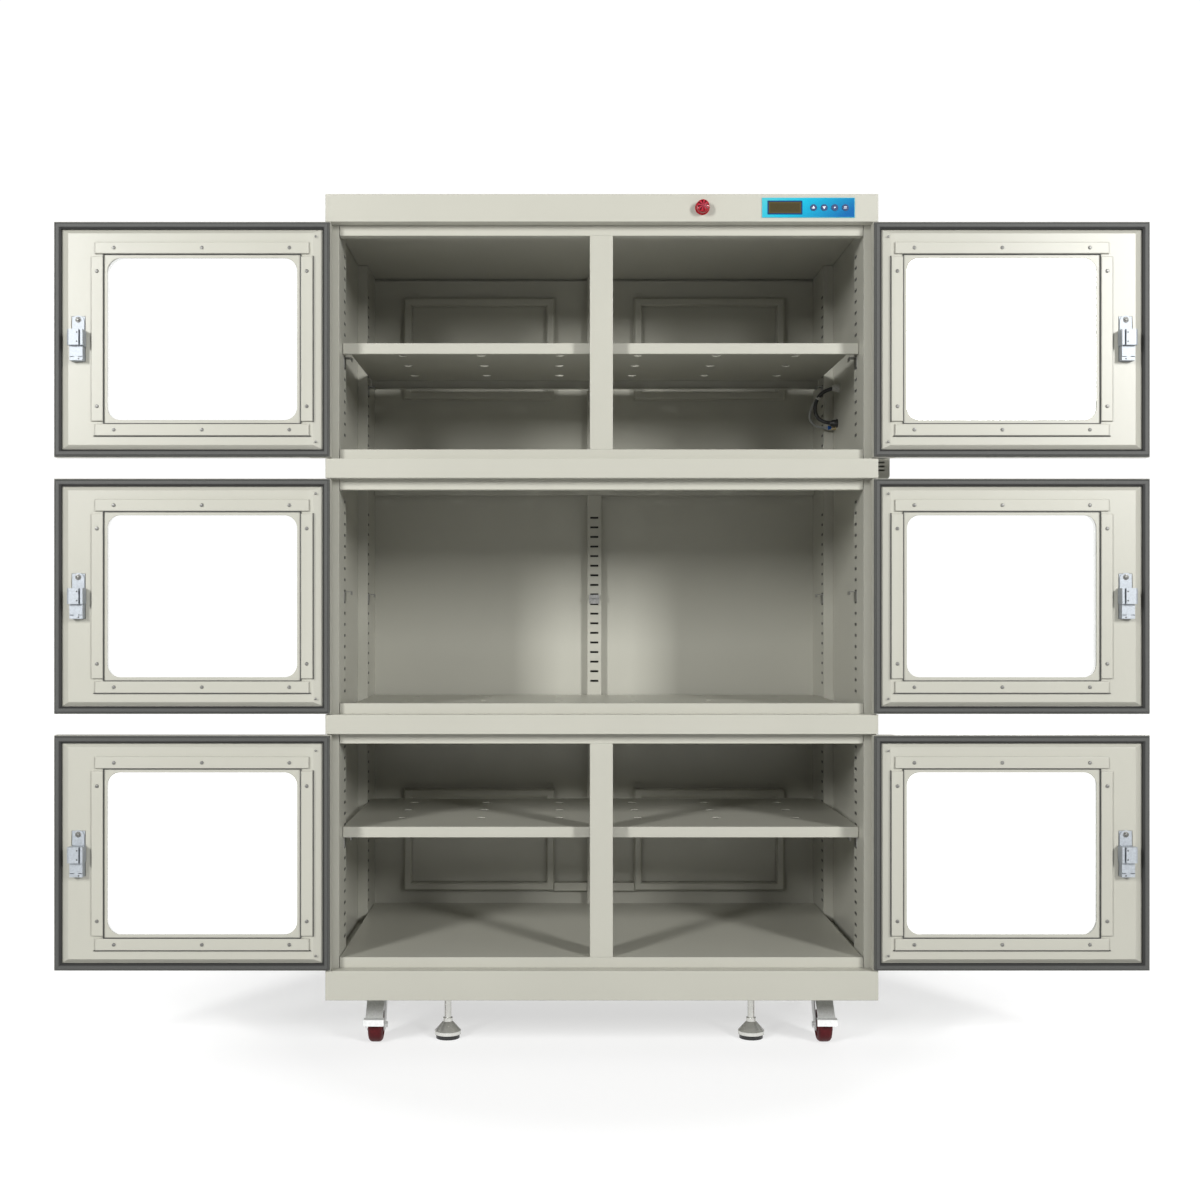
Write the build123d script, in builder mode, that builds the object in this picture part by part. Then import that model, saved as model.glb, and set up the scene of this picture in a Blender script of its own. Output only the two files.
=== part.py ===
"""Dry cabinet for moisture-sensitive parts: three bays, six glazed doors, on castors.

Millimetres, +X to the right, +Y to the back, +Z up.  The origin lies on the floor under
the middle of the whole object as it stands with every door folded right back.
"""
from build123d import *
import os

os.makedirs("parts", exist_ok=True)

# ---------------------------------------------------------------- driving dimensions
body_width = 1200.0
body_depth = 690.0
ground_clearance = 130.0
plinth_height = 64.0
bay_height = 514.0
band_height = 42.0
fascia_height = 60.0
bays = 3

sheet = 1.2                 # folded steel sheet of the body and the doors
overhang = 30.0             # fascia, bands and plinth stand this far before the face frame
rail_height = 23.0
post_face = 25.7            # width of the body's front edge beside an opening
mullion_width = 50.0
mullion_depth = 34.0
touch = 0.3                 # gap kept between pieces that move past each other
running = 0.05              # radial clearance of a pin in its hole

door_thickness = 28.0
door_gap = 2.0              # around a shut door
pin_radius = 3.0
pin_inset = 5.7             # pin axis to the door's hinge edge
pin_setback = 8.0           # pin axis behind the cabinet's front plane
pin_length = 9.0            # of pin inside the door
window_width = 410.0
window_height = 350.0
window_radius = 28.0
window_margin = 71.0        # door's hinge edge to the window
glass_thickness = 4.0
gasket_width = 15.0
gasket_height = 9.7
strip_width = 25.0
strip_thickness = 5.0
strip_lip = 9.0             # window edge to a retainer strip

latch_from_edge = 55.0      # latch centre to the door's free edge
latch_pivot_offset = 10.0   # latch pivot, nearer the free edge than the latch centre
latch_pivot_depth = 6.0     # latch pivot inside the plane of the door pins
latch_height = 106.0
latch_width = 36.0
latch_swing = 40.0          # lever travel in degrees
latch_proud = 28.0          # tongue tip beyond the door's inner face
latch_pin_radius = 2.5
tongue_height = 34.0

shelf_setback = 80.0
shelf_back_gap = 86.0       # behind a shelf, to the cabinet's back
shelf_lip = 25.0
shelf_sheet = 1.5
shelf_hole = 22.0
hole_pitch = 182.0
slot_pitch = 25.0
slot_height = 12.0
slot_width = 4.0
clip_heights = [277.0, 271.0, 240.0]    # shelf clips above each bay's bottom, about
post_return = 108.0         # front post, from the face frame to its back edge
rear_post_depth = 165.0     # rear post's front, before the cabinet's back
column_width = 36.0
column_depth = 25.0
back_gap = 10.0             # between the back panel and the inner back wall
deck_depth = 37.0

castor_inset = 93.0         # swivel axis to the cabinet's side
castor_front = 185.0        # swivel axis of the front castors, behind the front plane
castor_back = 130.0         # swivel axis of the rear castors, before the back
castor_trail = 35.0
wheel_diameter = 75.0
wheel_width = 33.0
foot_spacing = 160.0        # foot spindle, inward of the swivel axis
foot_setback = 180.0
foot_spindle = 16.0
foot_base = 60.0
foot_travel = 30.0

# ---------------------------------------------------------------- levels and planes
base_top = ground_clearance + plinth_height
bay_rise = bay_height + band_height
bay_bottoms = [base_top + bay_rise * row for row in range(bays)]
fascia_bottom = bay_bottoms[-1] + bay_height
top = fascia_bottom + fascia_height
half = body_width / 2
door_height = bay_height - 2 * door_gap
door_width = half - 0.5 - door_gap / 2
door_inner = door_thickness - pin_setback      # pin axis to the door's inner face
tongue_neck = door_inner - latch_pivot_depth   # latch pivot to the door's inner face
reach = door_inner - pin_setback + latch_proud # furthest piece before the front plane
front = -(body_depth - reach) / 2              # Y of the cabinet's front plane
frame_face = front + overhang                  # Y of the face frame
back = front + body_depth
liner = back - back_gap
pin_x = half - 0.5 - pin_inset
pin_y = front + pin_setback
opening_half = half - post_face
inner_half = half - sheet
castor_x = half - castor_inset
foot_x = castor_x - foot_spacing
hole_columns = int((opening_half - 60) / hole_pitch + 0.5)
holes_x = [hole_pitch * (i + 0.5) for i in range(-hole_columns, hole_columns)]
row_names = ["lower", "middle", "upper"]


def save(solids, name):
    """Write one node; its pieces stay separate solids."""
    node = Compound(label=name, children=list(solids))
    export_step(node, f"parts/{name}.step")


def folded(points, gauge=sheet, side=Side.RIGHT):
    """Face of a folded sheet whose outside follows the points."""
    with BuildSketch() as outline:
        with BuildLine():
            Polyline(*points)
            offset(amount=gauge, side=side, kind=Kind.INTERSECTION)
        make_face()
    return outline.sketch


def hole_places(front_edge, depth_of_sheet):
    """Places of the air holes in a shelf or deck: three rows across it."""
    rows = [front_edge + depth_of_sheet * share for share in (0.29, 0.56, 0.84)]
    return [(x, y) for x in holes_x for y in rows]


# ---------------------------------------------------------------- outer panels
panels = []
for side in (-1, 1):
    with BuildPart() as wall:
        with BuildSketch(Plane.XY.offset(ground_clearance)):
            add(folded(
                [
                    (side * opening_half, frame_face + 24),
                    (side * opening_half, frame_face),
                    (side * half, frame_face),
                    (side * half, back),
                    (side * (half - 20), back),
                ],
                side=Side.LEFT if side > 0 else Side.RIGHT,
            ))
        extrude(amount=top - sheet - ground_clearance)
    panels.append(wall.part)
with BuildPart() as lid:
    with BuildSketch(Plane.XY.offset(top - sheet)):
        with Locations((0, (frame_face + back) / 2)):
            Rectangle(body_width, back - frame_face)
    extrude(amount=sheet)
panels.append(lid.part)
save(panels, "outer_panels")

with BuildPart() as back_skin:
    with BuildSketch(Plane.XZ.offset(-back)):
        with Locations((0, (ground_clearance + top - sheet) / 2)):
            Rectangle(body_width - 42, top - sheet - ground_clearance)
    extrude(amount=sheet)
with BuildPart() as back_wall:
    with BuildSketch(Plane.XZ.offset(-liner - sheet)):
        with Locations((0, (base_top + top - deck_depth) / 2)):
            Rectangle(2 * inner_half, top - deck_depth - base_top)
    extrude(amount=sheet)
save([back_skin.part, back_wall.part], "back_panel")

# ---------------------------------------------------------------- fascia, bands, plinth
def hinge_pins(z, up):
    """Door pins that stand out of a band's top or bottom face at height z."""
    length = door_gap + pin_length
    with BuildPart() as pins:
        with BuildSketch(Plane.XY.offset(z)):
            with Locations((-pin_x, pin_y), (pin_x, pin_y)):
                Circle(pin_radius)
        extrude(amount=length if up else -length)
    return pins.part.solids()


def front_pan(z_low, z_high):
    """Folded pan across the cabinet's front, open to the back."""
    with BuildPart() as pan:
        with BuildSketch(Plane.YZ):
            add(folded([
                (frame_face, z_low),
                (front, z_low),
                (front, z_high),
                (frame_face, z_high),
            ]))
        extrude(amount=half, both=True)
    return pan.part


bands = [front_pan(fascia_bottom, top)]
bands += hinge_pins(fascia_bottom, up=False)
for bottom in bay_bottoms[1:]:
    bands.append(front_pan(bottom - band_height, bottom))
    bands += hinge_pins(bottom, up=True)
    bands += hinge_pins(bottom - band_height, up=False)
save(bands, "front_bands")

plinth_pieces = [front_pan(ground_clearance, base_top)]
plinth_pieces += hinge_pins(base_top, up=True)
channel_gauge = 3.0
channel_height = 40.0
channel_width = 90.0
for side in (-1, 1):
    with BuildPart() as channel:
        with BuildSketch(Plane.XZ.offset(-frame_face - 1)):
            with Locations((side * castor_x, 0)):
                add(folded(
                    [
                        (-channel_width / 2, ground_clearance + channel_height),
                        (-channel_width / 2, ground_clearance),
                        (channel_width / 2, ground_clearance),
                        (channel_width / 2, ground_clearance + channel_height),
                    ],
                    gauge=channel_gauge,
                    side=Side.LEFT,
                ))
        extrude(amount=-(body_depth - overhang - 4))
    plinth_pieces.append(channel.part)
foot_plate_width = 80.0
with BuildPart() as foot_beam:
    with BuildSketch(Plane.XY.offset(ground_clearance)):
        with Locations((0, front + foot_setback)):
            Rectangle(2 * foot_x + foot_plate_width, foot_plate_width)
            with Locations((-foot_x, 0), (foot_x, 0)):
                Circle(foot_spindle / 2 + running, mode=Mode.SUBTRACT)
    extrude(amount=channel_gauge * 2)
plinth_pieces.append(foot_beam.part)
with BuildPart() as base_pan:
    with BuildSketch(Plane.XY.offset(base_top - sheet)):
        with Locations((0, (frame_face + 25 + liner) / 2)):
            Rectangle(2 * inner_half, liner - frame_face - 25)
    extrude(amount=sheet)
plinth_pieces.append(base_pan.part)
save(plinth_pieces, "base_plinth")

# ---------------------------------------------------------------- face frame
rails = []
for bottom in bay_bottoms:
    for low in (bottom, bottom + bay_height - rail_height):
        with BuildPart() as rail:
            with BuildSketch(Plane.YZ):
                add(folded([
                    (frame_face + 25, low),
                    (frame_face, low),
                    (frame_face, low + rail_height),
                    (frame_face + 25, low + rail_height),
                ]))
            extrude(amount=opening_half - sheet, both=True)
        rails.append(rail.part)
save(rails, "face_frame")

# ---------------------------------------------------------------- posts
slot_first = base_top + 51.7
slot_count = int((fascia_bottom - slot_first) // slot_pitch)
slot_levels = [
    level
    for level in (slot_first + slot_pitch * i for i in range(slot_count))
    if any(bottom + 45 < level < bottom + bay_height - 30 for bottom in bay_bottoms)
]
post_bottom = base_top
post_top = top - sheet - 32.0


def slotted(profile, slot_plane, slot_u, wide, high):
    """Post of the given plan profile with a row of slots in one face."""
    with BuildPart() as post:
        with BuildSketch(Plane.XY.offset(post_bottom)):
            add(profile)
        extrude(amount=post_top - post_bottom)
        with BuildSketch(slot_plane):
            with Locations([(slot_u, z) for z in slot_levels]):
                Rectangle(wide, high)
        extrude(amount=2 * post_gauge, both=True, mode=Mode.SUBTRACT)
    return post.part


post_gauge = 1.5
front_slot_y = front + 118.0
rear_post_front = back - rear_post_depth
rear_slot_y = rear_post_front + 20
posts = []
for side in (-1, 1):
    face = side * opening_half
    inward = Plane(origin=(face, 0, 0), x_dir=(0, 1, 0), z_dir=(1, 0, 0))
    front_profile = folded(
        [
            (face, frame_face + 25 + touch),
            (face, frame_face + post_return),
            (side * inner_half, frame_face + post_return),
        ],
        gauge=post_gauge,
        side=Side.LEFT if side < 0 else Side.RIGHT,
    )
    rear_profile = folded(
        [
            (side * inner_half, rear_post_front),
            (face, rear_post_front),
            (face, liner),
        ],
        gauge=post_gauge,
        side=Side.LEFT if side < 0 else Side.RIGHT,
    )
    posts.append(slotted(front_profile, inward, front_slot_y, slot_width, slot_height))
    posts.append(slotted(rear_profile, inward, rear_slot_y, slot_width, slot_height))
column_face = liner - column_depth
column_profile = folded(
    [
        (-column_width / 2, liner),
        (-column_width / 2, column_face),
        (column_width / 2, column_face),
        (column_width / 2, liner),
    ],
    gauge=post_gauge,
    side=Side.LEFT,
)
posts.append(slotted(
    column_profile,
    Plane.XZ.offset(-column_face),
    0,
    21.0,
    5.0,
))
keeper_depth = 24.0
for row in (0, 2):
    with BuildPart() as mullion:
        low = bay_bottoms[row] + rail_height
        with BuildSketch(Plane.XY.offset(low)):
            add(folded(
                [
                    (-mullion_width / 2, frame_face + mullion_depth),
                    (-mullion_width / 2, frame_face),
                    (mullion_width / 2, frame_face),
                    (mullion_width / 2, frame_face + mullion_depth),
                ],
                side=Side.LEFT,
            ))
        extrude(amount=bay_height - 2 * rail_height)
        # keeper slots that the latch tongues hook into
        with BuildSketch(Plane.YZ):
            with Locations((frame_face + sheet + keeper_depth / 2,
                            bay_bottoms[row] + bay_height / 2)):
                Rectangle(keeper_depth, tongue_height + 6)
        extrude(amount=mullion_width, both=True, mode=Mode.SUBTRACT)
    posts.append(mullion.part)
save(posts, "posts")

# ---------------------------------------------------------------- decks
deck_front = frame_face + 25 + touch
deck_back = liner - column_depth - 1


def tray(z_top, depth_of_tray, holes):
    """Perforated deck: a flat sheet with its front and back edges folded down."""
    with BuildPart() as deck:
        with BuildSketch(Plane.YZ):
            add(folded(
                [
                    (deck_front, z_top - depth_of_tray),
                    (deck_front, z_top),
                    (deck_back, z_top),
                    (deck_back, z_top - depth_of_tray),
                ],
                gauge=shelf_sheet,
            ))
        extrude(amount=opening_half - post_gauge - touch, both=True)
        if holes:
            with BuildSketch(Plane.XY.offset(z_top)):
                with Locations(holes):
                    RegularPolygon(shelf_hole / 2, 10)
            extrude(amount=-2 * shelf_sheet, mode=Mode.SUBTRACT)
    return deck.part


deck_holes = hole_places(deck_front, deck_back - deck_front)
decks = [tray(base_top + rail_height, 22.0, [])]
for bottom in bay_bottoms[1:]:
    decks.append(tray(bottom + 10.0, deck_depth, deck_holes))
ceiling_z = post_top + sheet + 0.1
with BuildPart() as ceiling:
    with BuildSketch(Plane.YZ):
        add(folded(
            [
                (deck_front, ceiling_z + 22),
                (deck_front, ceiling_z),
                (liner - 1, ceiling_z),
                (liner - 1, ceiling_z + 22),
            ],
            side=Side.LEFT,
        ))
    extrude(amount=inner_half - 1, both=True)
decks.append(ceiling.part)
save(decks, "decks")

# ---------------------------------------------------------------- shelves and clips
clip_levels = [
    min(slot_levels, key=lambda level: abs(level - bottom - height))
    for bottom, height in zip(bay_bottoms, clip_heights)
]
shelf_half = opening_half - 1.3
shelf_front = front + shelf_setback
shelf_depth = body_depth - shelf_setback - shelf_back_gap
shelf_holes = hole_places(shelf_front, shelf_depth)
shelf_solids = []
for level in (clip_levels[0], clip_levels[2]):
    with BuildPart() as shelf:
        with BuildSketch(Plane.YZ):
            add(folded(
                [
                    (shelf_front + 14, level + shelf_sheet),
                    (shelf_front, level + shelf_sheet),
                    (shelf_front, level + shelf_lip),
                    (shelf_front + shelf_depth, level + shelf_lip),
                    (shelf_front + shelf_depth, level + shelf_sheet),
                    (shelf_front + shelf_depth - 14, level + shelf_sheet),
                ],
                gauge=shelf_sheet,
            ))
        extrude(amount=shelf_half, both=True)
        with BuildSketch(Plane.XY.offset(level + shelf_lip)):
            with Locations(shelf_holes):
                RegularPolygon(shelf_hole / 2, 10)
        extrude(amount=-2 * shelf_sheet, mode=Mode.SUBTRACT)
    shelf_solids.append(shelf.part)
save(shelf_solids, "shelves")

clip_width = 26.0
clip_gauge = 1.5
clip_ledge = 16.0
clips = []
for level in clip_levels:
    for side in (-1, 1):
        for slot_y in (front_slot_y, rear_slot_y):
            face = side * (opening_half - 0.1)
            with BuildPart() as clip:
                with BuildSketch(Plane.XZ.offset(-slot_y - clip_width / 2)):
                    add(folded(
                        [
                            (face, level - 24),
                            (face, level - 24 + 23),
                            (face - side * clip_ledge, level - 1),
                            (face - side * clip_ledge, level - 9),
                        ],
                        gauge=clip_gauge,
                        side=Side.LEFT if side > 0 else Side.RIGHT,
                    ))
                extrude(amount=clip_width)
            clips.append(clip.part)
    with BuildPart() as rear_clip:
        with BuildSketch(Plane.YZ):
            add(folded(
                [
                    (column_face - 0.1, level - 24),
                    (column_face - 0.1, level - 1),
                    (column_face - 0.1 - clip_ledge, level - 1),
                    (column_face - 0.1 - clip_ledge, level - 9),
                ],
                gauge=clip_gauge,
                side=Side.LEFT,
            ))
        extrude(amount=clip_width / 2, both=True)
    clips.append(rear_clip.part)
save(clips, "shelf_clips")

# ---------------------------------------------------------------- dryer frames
frame_bar = 21.0
frame_proud = 20.0
frame_low_x = 104.0
frame_high_x = half - 103.0
frame_height = 265.0
upper_frame = (fascia_bottom - 25 - frame_height, fascia_bottom - 25)
lower_frame = (bay_bottoms[0] + 54, bay_bottoms[0] + 54 + frame_height)
dryers = []
for low, high in (upper_frame, lower_frame):
    for side in (-1, 1):
        centre = (side * (frame_low_x + frame_high_x) / 2, (low + high) / 2)
        wide = frame_high_x - frame_low_x
        with BuildPart() as surround:
            with BuildSketch(Plane.XZ.offset(-liner)):
                with Locations(centre):
                    Rectangle(wide, high - low)
                    Rectangle(wide - 2 * frame_bar, high - low - 2 * frame_bar,
                              mode=Mode.SUBTRACT)
            extrude(amount=frame_proud)
            chamfer(surround.faces().sort_by(Axis.Y)[0].edges(), length=4.0)
            with BuildSketch(Plane.XZ.offset(-liner)):
                with Locations(centre):
                    Rectangle(wide - 2 * sheet, high - low - 2 * sheet)
                    Rectangle(wide - 2 * frame_bar + 2 * sheet,
                              high - low - 2 * frame_bar + 2 * sheet, mode=Mode.SUBTRACT)
            extrude(amount=frame_proud - 4, mode=Mode.SUBTRACT)
        with BuildPart() as plate:
            with BuildSketch(Plane.XZ.offset(-liner)):
                with Locations(centre):
                    Rectangle(wide - 2 * frame_bar - 0.6, high - low - 2 * frame_bar - 0.6)
            extrude(amount=2 * sheet)
        dryers += [surround.part, plate.part]
# hook tabs over the outer top corners that hold the dryer covers
tab_width = 16.0
tab_height = 14.0
with BuildPart() as hook_tabs:
    with BuildSketch(Plane.XZ.offset(-liner)):
        for high in (upper_frame[1], lower_frame[1]):
            for x in (frame_low_x + 12, frame_high_x - 30):
                with Locations((x, high + 1 + tab_height / 2),
                               (-x, high + 1 + tab_height / 2)):
                    Rectangle(tab_width, tab_height)
    extrude(amount=3)
dryers += hook_tabs.part.solids()
with BuildPart() as tie_bar:
    with BuildSketch(Plane.XZ.offset(-liner)):
        for side in (-1, 1):
            with Locations((side * (column_width / 2 + frame_low_x) / 2,
                            lower_frame[0] + frame_bar / 2)):
                Rectangle(frame_low_x - column_width / 2 - 0.4, frame_bar)
    extrude(amount=frame_proud)
dryers += tie_bar.part.solids()
save(dryers, "dryer_frames")

# ---------------------------------------------------------------- side box and sensor
box_depth = 60.0
box_front = front + 160.0
box_back = box_front + 220.0
box_low = bay_bottoms[2] - 30.0
box_high = box_low + 280.0
vent_count = 5
with BuildPart() as box:
    with BuildSketch(Plane.XZ.offset(-box_front)):
        with BuildLine():
            FilletPolyline(
                (half, box_low),
                (half + box_depth, box_low),
                (half + box_depth, box_high),
                (half, box_high),
                radius=8,
            )
            Line((half, box_high), (half, box_low))
        make_face()
    extrude(amount=-(box_back - box_front))
    with BuildSketch(Plane.YZ.offset(half)):
        with Locations(((box_front + box_back) / 2, (box_low + box_high) / 2)):
            Rectangle(box_back - box_front - 3, box_high - box_low - 3)
    extrude(amount=box_depth - 1.5, mode=Mode.SUBTRACT)
    with BuildSketch(Plane.XZ.offset(-box_front)):
        for level in range(vent_count):
            with Locations((half + box_depth / 2, box_low + 20 + 9 * level)):
                Rectangle(36, 3.5)
    extrude(amount=-6, mode=Mode.SUBTRACT)
save([box.part], "side_box")

conduit_radius = 5.0
gland_z = bay_bottoms[2] + 137.0
gland_y = front + 470.0
wall_x = inner_half
with BuildPart() as conduit:
    with BuildLine() as route:
        FilletPolyline(
            (wall_x - 16, gland_y, gland_z),
            (wall_x - 52, gland_y, gland_z + 4),
            (wall_x - 60, gland_y - 14, gland_z + 52),
            (wall_x - 30, gland_y - 20, gland_z + 84),
            (wall_x, gland_y - 20, gland_z + 84),
            radius=14,
        )
    with BuildSketch(Plane(origin=route.line @ 0, z_dir=route.line % 0)):
        RegularPolygon(conduit_radius, 6)
    sweep()
with BuildPart() as gland:
    with BuildSketch(Plane.YZ.offset(wall_x)):
        with Locations((gland_y, gland_z)):
            RegularPolygon(radius=11, side_count=6)
    extrude(amount=-8)
    with BuildSketch(Plane.YZ.offset(wall_x - 8)):
        with Locations((gland_y, gland_z)):
            Circle(8)
    extrude(amount=-8)
with BuildPart() as fitting:
    with BuildSketch(Plane.YZ.offset(wall_x)):
        with Locations((gland_y + 26, gland_z - 8)):
            Circle(6)
    extrude(amount=-20)
save([conduit.part, gland.part, fitting.part], "sensor_conduit")

# ---------------------------------------------------------------- controls
panel_x = half - 152
panel_z = fascia_bottom + fascia_height / 2
panel_width = 201.0
panel_height = 43.0
panel_thickness = 2.0
display_width = 75.6
display_height = 30.0
display_x = panel_x - 51.0
key_radius = 7.0
key_pitch = 23.0
key_first = panel_x + 11.0
key_travel = 0.8
key_proud = 1.2
key_names = ["up", "down", "set", "mute"]
key_places = [(key_first + key_pitch * i, panel_z) for i in range(len(key_names))]
with BuildPart() as panel:
    with BuildSketch(Plane.XZ.offset(-front)):
        with Locations((panel_x, panel_z)):
            Rectangle(panel_width, panel_height)
        with Locations(key_places):
            Circle(key_radius + touch, mode=Mode.SUBTRACT)
    extrude(amount=panel_thickness)
with BuildPart() as display:
    with BuildSketch(Plane.XZ.offset(-front + panel_thickness)):
        with Locations((display_x, panel_z)):
            Rectangle(display_width, display_height)
    extrude(amount=0.6)
save([panel.part, display.part], "control_panel")
for name, place in zip(key_names, key_places):
    with BuildPart() as key:
        with BuildSketch(Plane.XZ.offset(-front + key_travel + touch)):
            with Locations(place):
                Circle(key_radius)
        extrude(amount=panel_thickness + key_proud - key_travel - touch)
    save([key.part], f"key_{name}")

lamp_x = panel_x - 230
lamp_radius = 14.0
lamp_height = 24.0
lamp_flange = 3.0
with BuildPart() as lamp:
    with BuildSketch(Plane.XZ.offset(-front)):
        with Locations((lamp_x, panel_z)):
            Circle(lamp_radius + 2)
    extrude(amount=lamp_flange)
    with BuildSketch(Plane.XZ.offset(-front + lamp_flange)):
        with Locations((lamp_x, panel_z)):
            Circle(lamp_radius)
    extrude(amount=lamp_height - lamp_flange)
save([lamp.part], "alarm_lamp")

# ---------------------------------------------------------------- doors
# One left door is drawn folded right back, in the lowest bay, and then copied.
hinge_x = -(pin_x - pin_inset)
free_x = hinge_x - door_width
outer_y = pin_y + pin_setback
inner_y = pin_y - door_inner
door_x = (hinge_x + free_x) / 2
door_low = bay_bottoms[0] + door_gap
door_z = door_low + door_height / 2
window_x = hinge_x - window_margin - window_width / 2
rim = 1.7                   # bare metal rim outside the gasket
rim_height = door_inner - 6.0
seat_height = door_inner - 8.0
plateau_inset = rim + gasket_width + 0.5
free_slope = 15.5           # width of the raised field's sloped edges
hinge_slope = 19.0
end_slope = 9.0
latch_x = free_x + latch_from_edge
pivot_x = latch_x - latch_pivot_offset
pivot_y = pin_y - latch_pivot_depth
latch_cut_width = 30.0
latch_cut_height = latch_height - 8.0
lever_gap_low = pivot_x - 5.0
lever_gap_high = pivot_x + 25.0


def at_height(v):
    """Plane parallel to the door, v above the pin axis towards the door's inner side."""
    return Plane.XZ.offset(-pin_y + v)


with BuildPart() as skin:
    with BuildSketch(at_height(-pin_setback)):
        with Locations((door_x, door_z)):
            Rectangle(door_width, door_height)
    extrude(amount=pin_setback + rim_height)
    with BuildSketch(at_height(-pin_setback + sheet)):
        with Locations((door_x, door_z)):
            Rectangle(door_width - 2 * sheet, door_height - 2 * sheet)
    extrude(amount=door_thickness, mode=Mode.SUBTRACT)
    # hinge blocks in the two corners, bored for the pins
    with BuildSketch(Plane.XY.offset(door_low)):
        with Locations((-pin_x, pin_y)):
            Rectangle(2 * (pin_inset - sheet) + 1, 2 * (pin_setback - sheet))
    extrude(amount=pin_length + 4)
    with BuildSketch(Plane.XY.offset(door_low + door_height)):
        with Locations((-pin_x, pin_y)):
            Rectangle(2 * (pin_inset - sheet) + 1, 2 * (pin_setback - sheet))
    extrude(amount=-(pin_length + 4))
    with BuildSketch(Plane.XY.offset(door_low)):
        with Locations((-pin_x, pin_y)):
            Circle(pin_radius + running)
    extrude(amount=pin_length + touch, mode=Mode.SUBTRACT)
    with BuildSketch(Plane.XY.offset(door_low + door_height)):
        with Locations((-pin_x, pin_y)):
            Circle(pin_radius + running)
    extrude(amount=-(pin_length + touch), mode=Mode.SUBTRACT)
    # window opening with a reveal turned in to the glass
    outer_window = 8.0
    with BuildSketch(at_height(-pin_setback)):
        with Locations((window_x, door_z)):
            Rectangle(window_width + 2 * outer_window + 2 * sheet,
                      window_height + 2 * outer_window + 2 * sheet)
    extrude(amount=pin_setback + seat_height + 1.5)
    with BuildSketch(at_height(-pin_setback)):
        with Locations((window_x, door_z)):
            RectangleRounded(window_width + 2 * outer_window,
                             window_height + 2 * outer_window,
                             window_radius + outer_window)
    extrude(amount=door_thickness, mode=Mode.SUBTRACT)
    with BuildSketch(at_height(-pin_setback)):
        with Locations((latch_x, door_z)):
            Rectangle(latch_cut_width, latch_cut_height)
    extrude(amount=2 * sheet, mode=Mode.SUBTRACT)

def raised_field(setback):
    """Block in the form of the liner's raised field, set back from its face."""
    seat_y = pin_y - seat_height + setback
    face_y = inner_y + setback
    x_free, x_hinge = free_x + plateau_inset, hinge_x - plateau_inset
    z_low, z_high = door_low + plateau_inset, door_low + door_height - plateau_inset
    with BuildPart() as field:
        with BuildSketch(Plane.XY.offset(z_low)):
            with BuildLine():
                Polyline((x_free, seat_y), (x_free + free_slope, face_y),
                         (x_hinge - hinge_slope, face_y), (x_hinge, seat_y), close=True)
            make_face()
        extrude(amount=z_high - z_low)
        with BuildSketch(Plane.YZ.offset(free_x)):
            with BuildLine():
                Polyline((seat_y, z_low), (face_y, z_low + end_slope),
                         (face_y, z_high - end_slope), (seat_y, z_high), close=True)
            make_face()
        extrude(amount=door_width, mode=Mode.INTERSECT)
    return field.part


with BuildPart() as door_liner:
    with BuildSketch(at_height(seat_height - sheet)):
        with Locations((door_x, door_z)):
            Rectangle(door_width - 2 * sheet - 0.2, door_height - 2 * sheet - 0.2)
    extrude(amount=sheet)
    add(raised_field(0))
    add(raised_field(sheet), mode=Mode.SUBTRACT)
    with BuildSketch(at_height(0)):
        with Locations((window_x, door_z)):
            RectangleRounded(window_width, window_height, window_radius)
        with Locations((latch_x, door_z)):
            Rectangle(latch_cut_width, latch_cut_height)
        for z in (door_low + 7, door_low + door_height - 7):
            with Locations((-pin_x, z)):
                Rectangle(2 * pin_inset + 4, 16)
    extrude(amount=door_thickness, mode=Mode.SUBTRACT)

long_strip = window_width + 2 * strip_width + 2
short_strip = window_height + 6
across = window_width / 2 + strip_lip + strip_width / 2
along = window_height / 2 + strip_lip + strip_width / 2
with BuildPart() as strips:
    with BuildSketch(at_height(door_inner)):
        with Locations((window_x, door_z + along), (window_x, door_z - along)):
            Rectangle(long_strip, strip_width)
        with Locations((window_x + across, door_z), (window_x - across, door_z)):
            Rectangle(strip_width, short_strip)
    extrude(amount=strip_thickness)
    chamfer(strips.faces().sort_by(Axis.Y)[:4].edges(), length=1.0)

with BuildPart() as glass:
    with BuildSketch(at_height(door_inner - sheet - 0.1 - glass_thickness)):
        with Locations((window_x, door_z)):
            Rectangle(window_width + 30, window_height + 30)
    extrude(amount=glass_thickness)

with BuildPart() as gasket:
    with BuildSketch(at_height(seat_height)):
        with Locations((door_x, door_z)):
            Rectangle(door_width - 2 * rim, door_height - 2 * rim)
            Rectangle(door_width - 2 * rim - 2 * gasket_width,
                      door_height - 2 * rim - 2 * gasket_width, mode=Mode.SUBTRACT)
    extrude(amount=gasket_height)
    chamfer(gasket.faces().sort_by(Axis.Y)[0].edges(), length=4.0)

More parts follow.
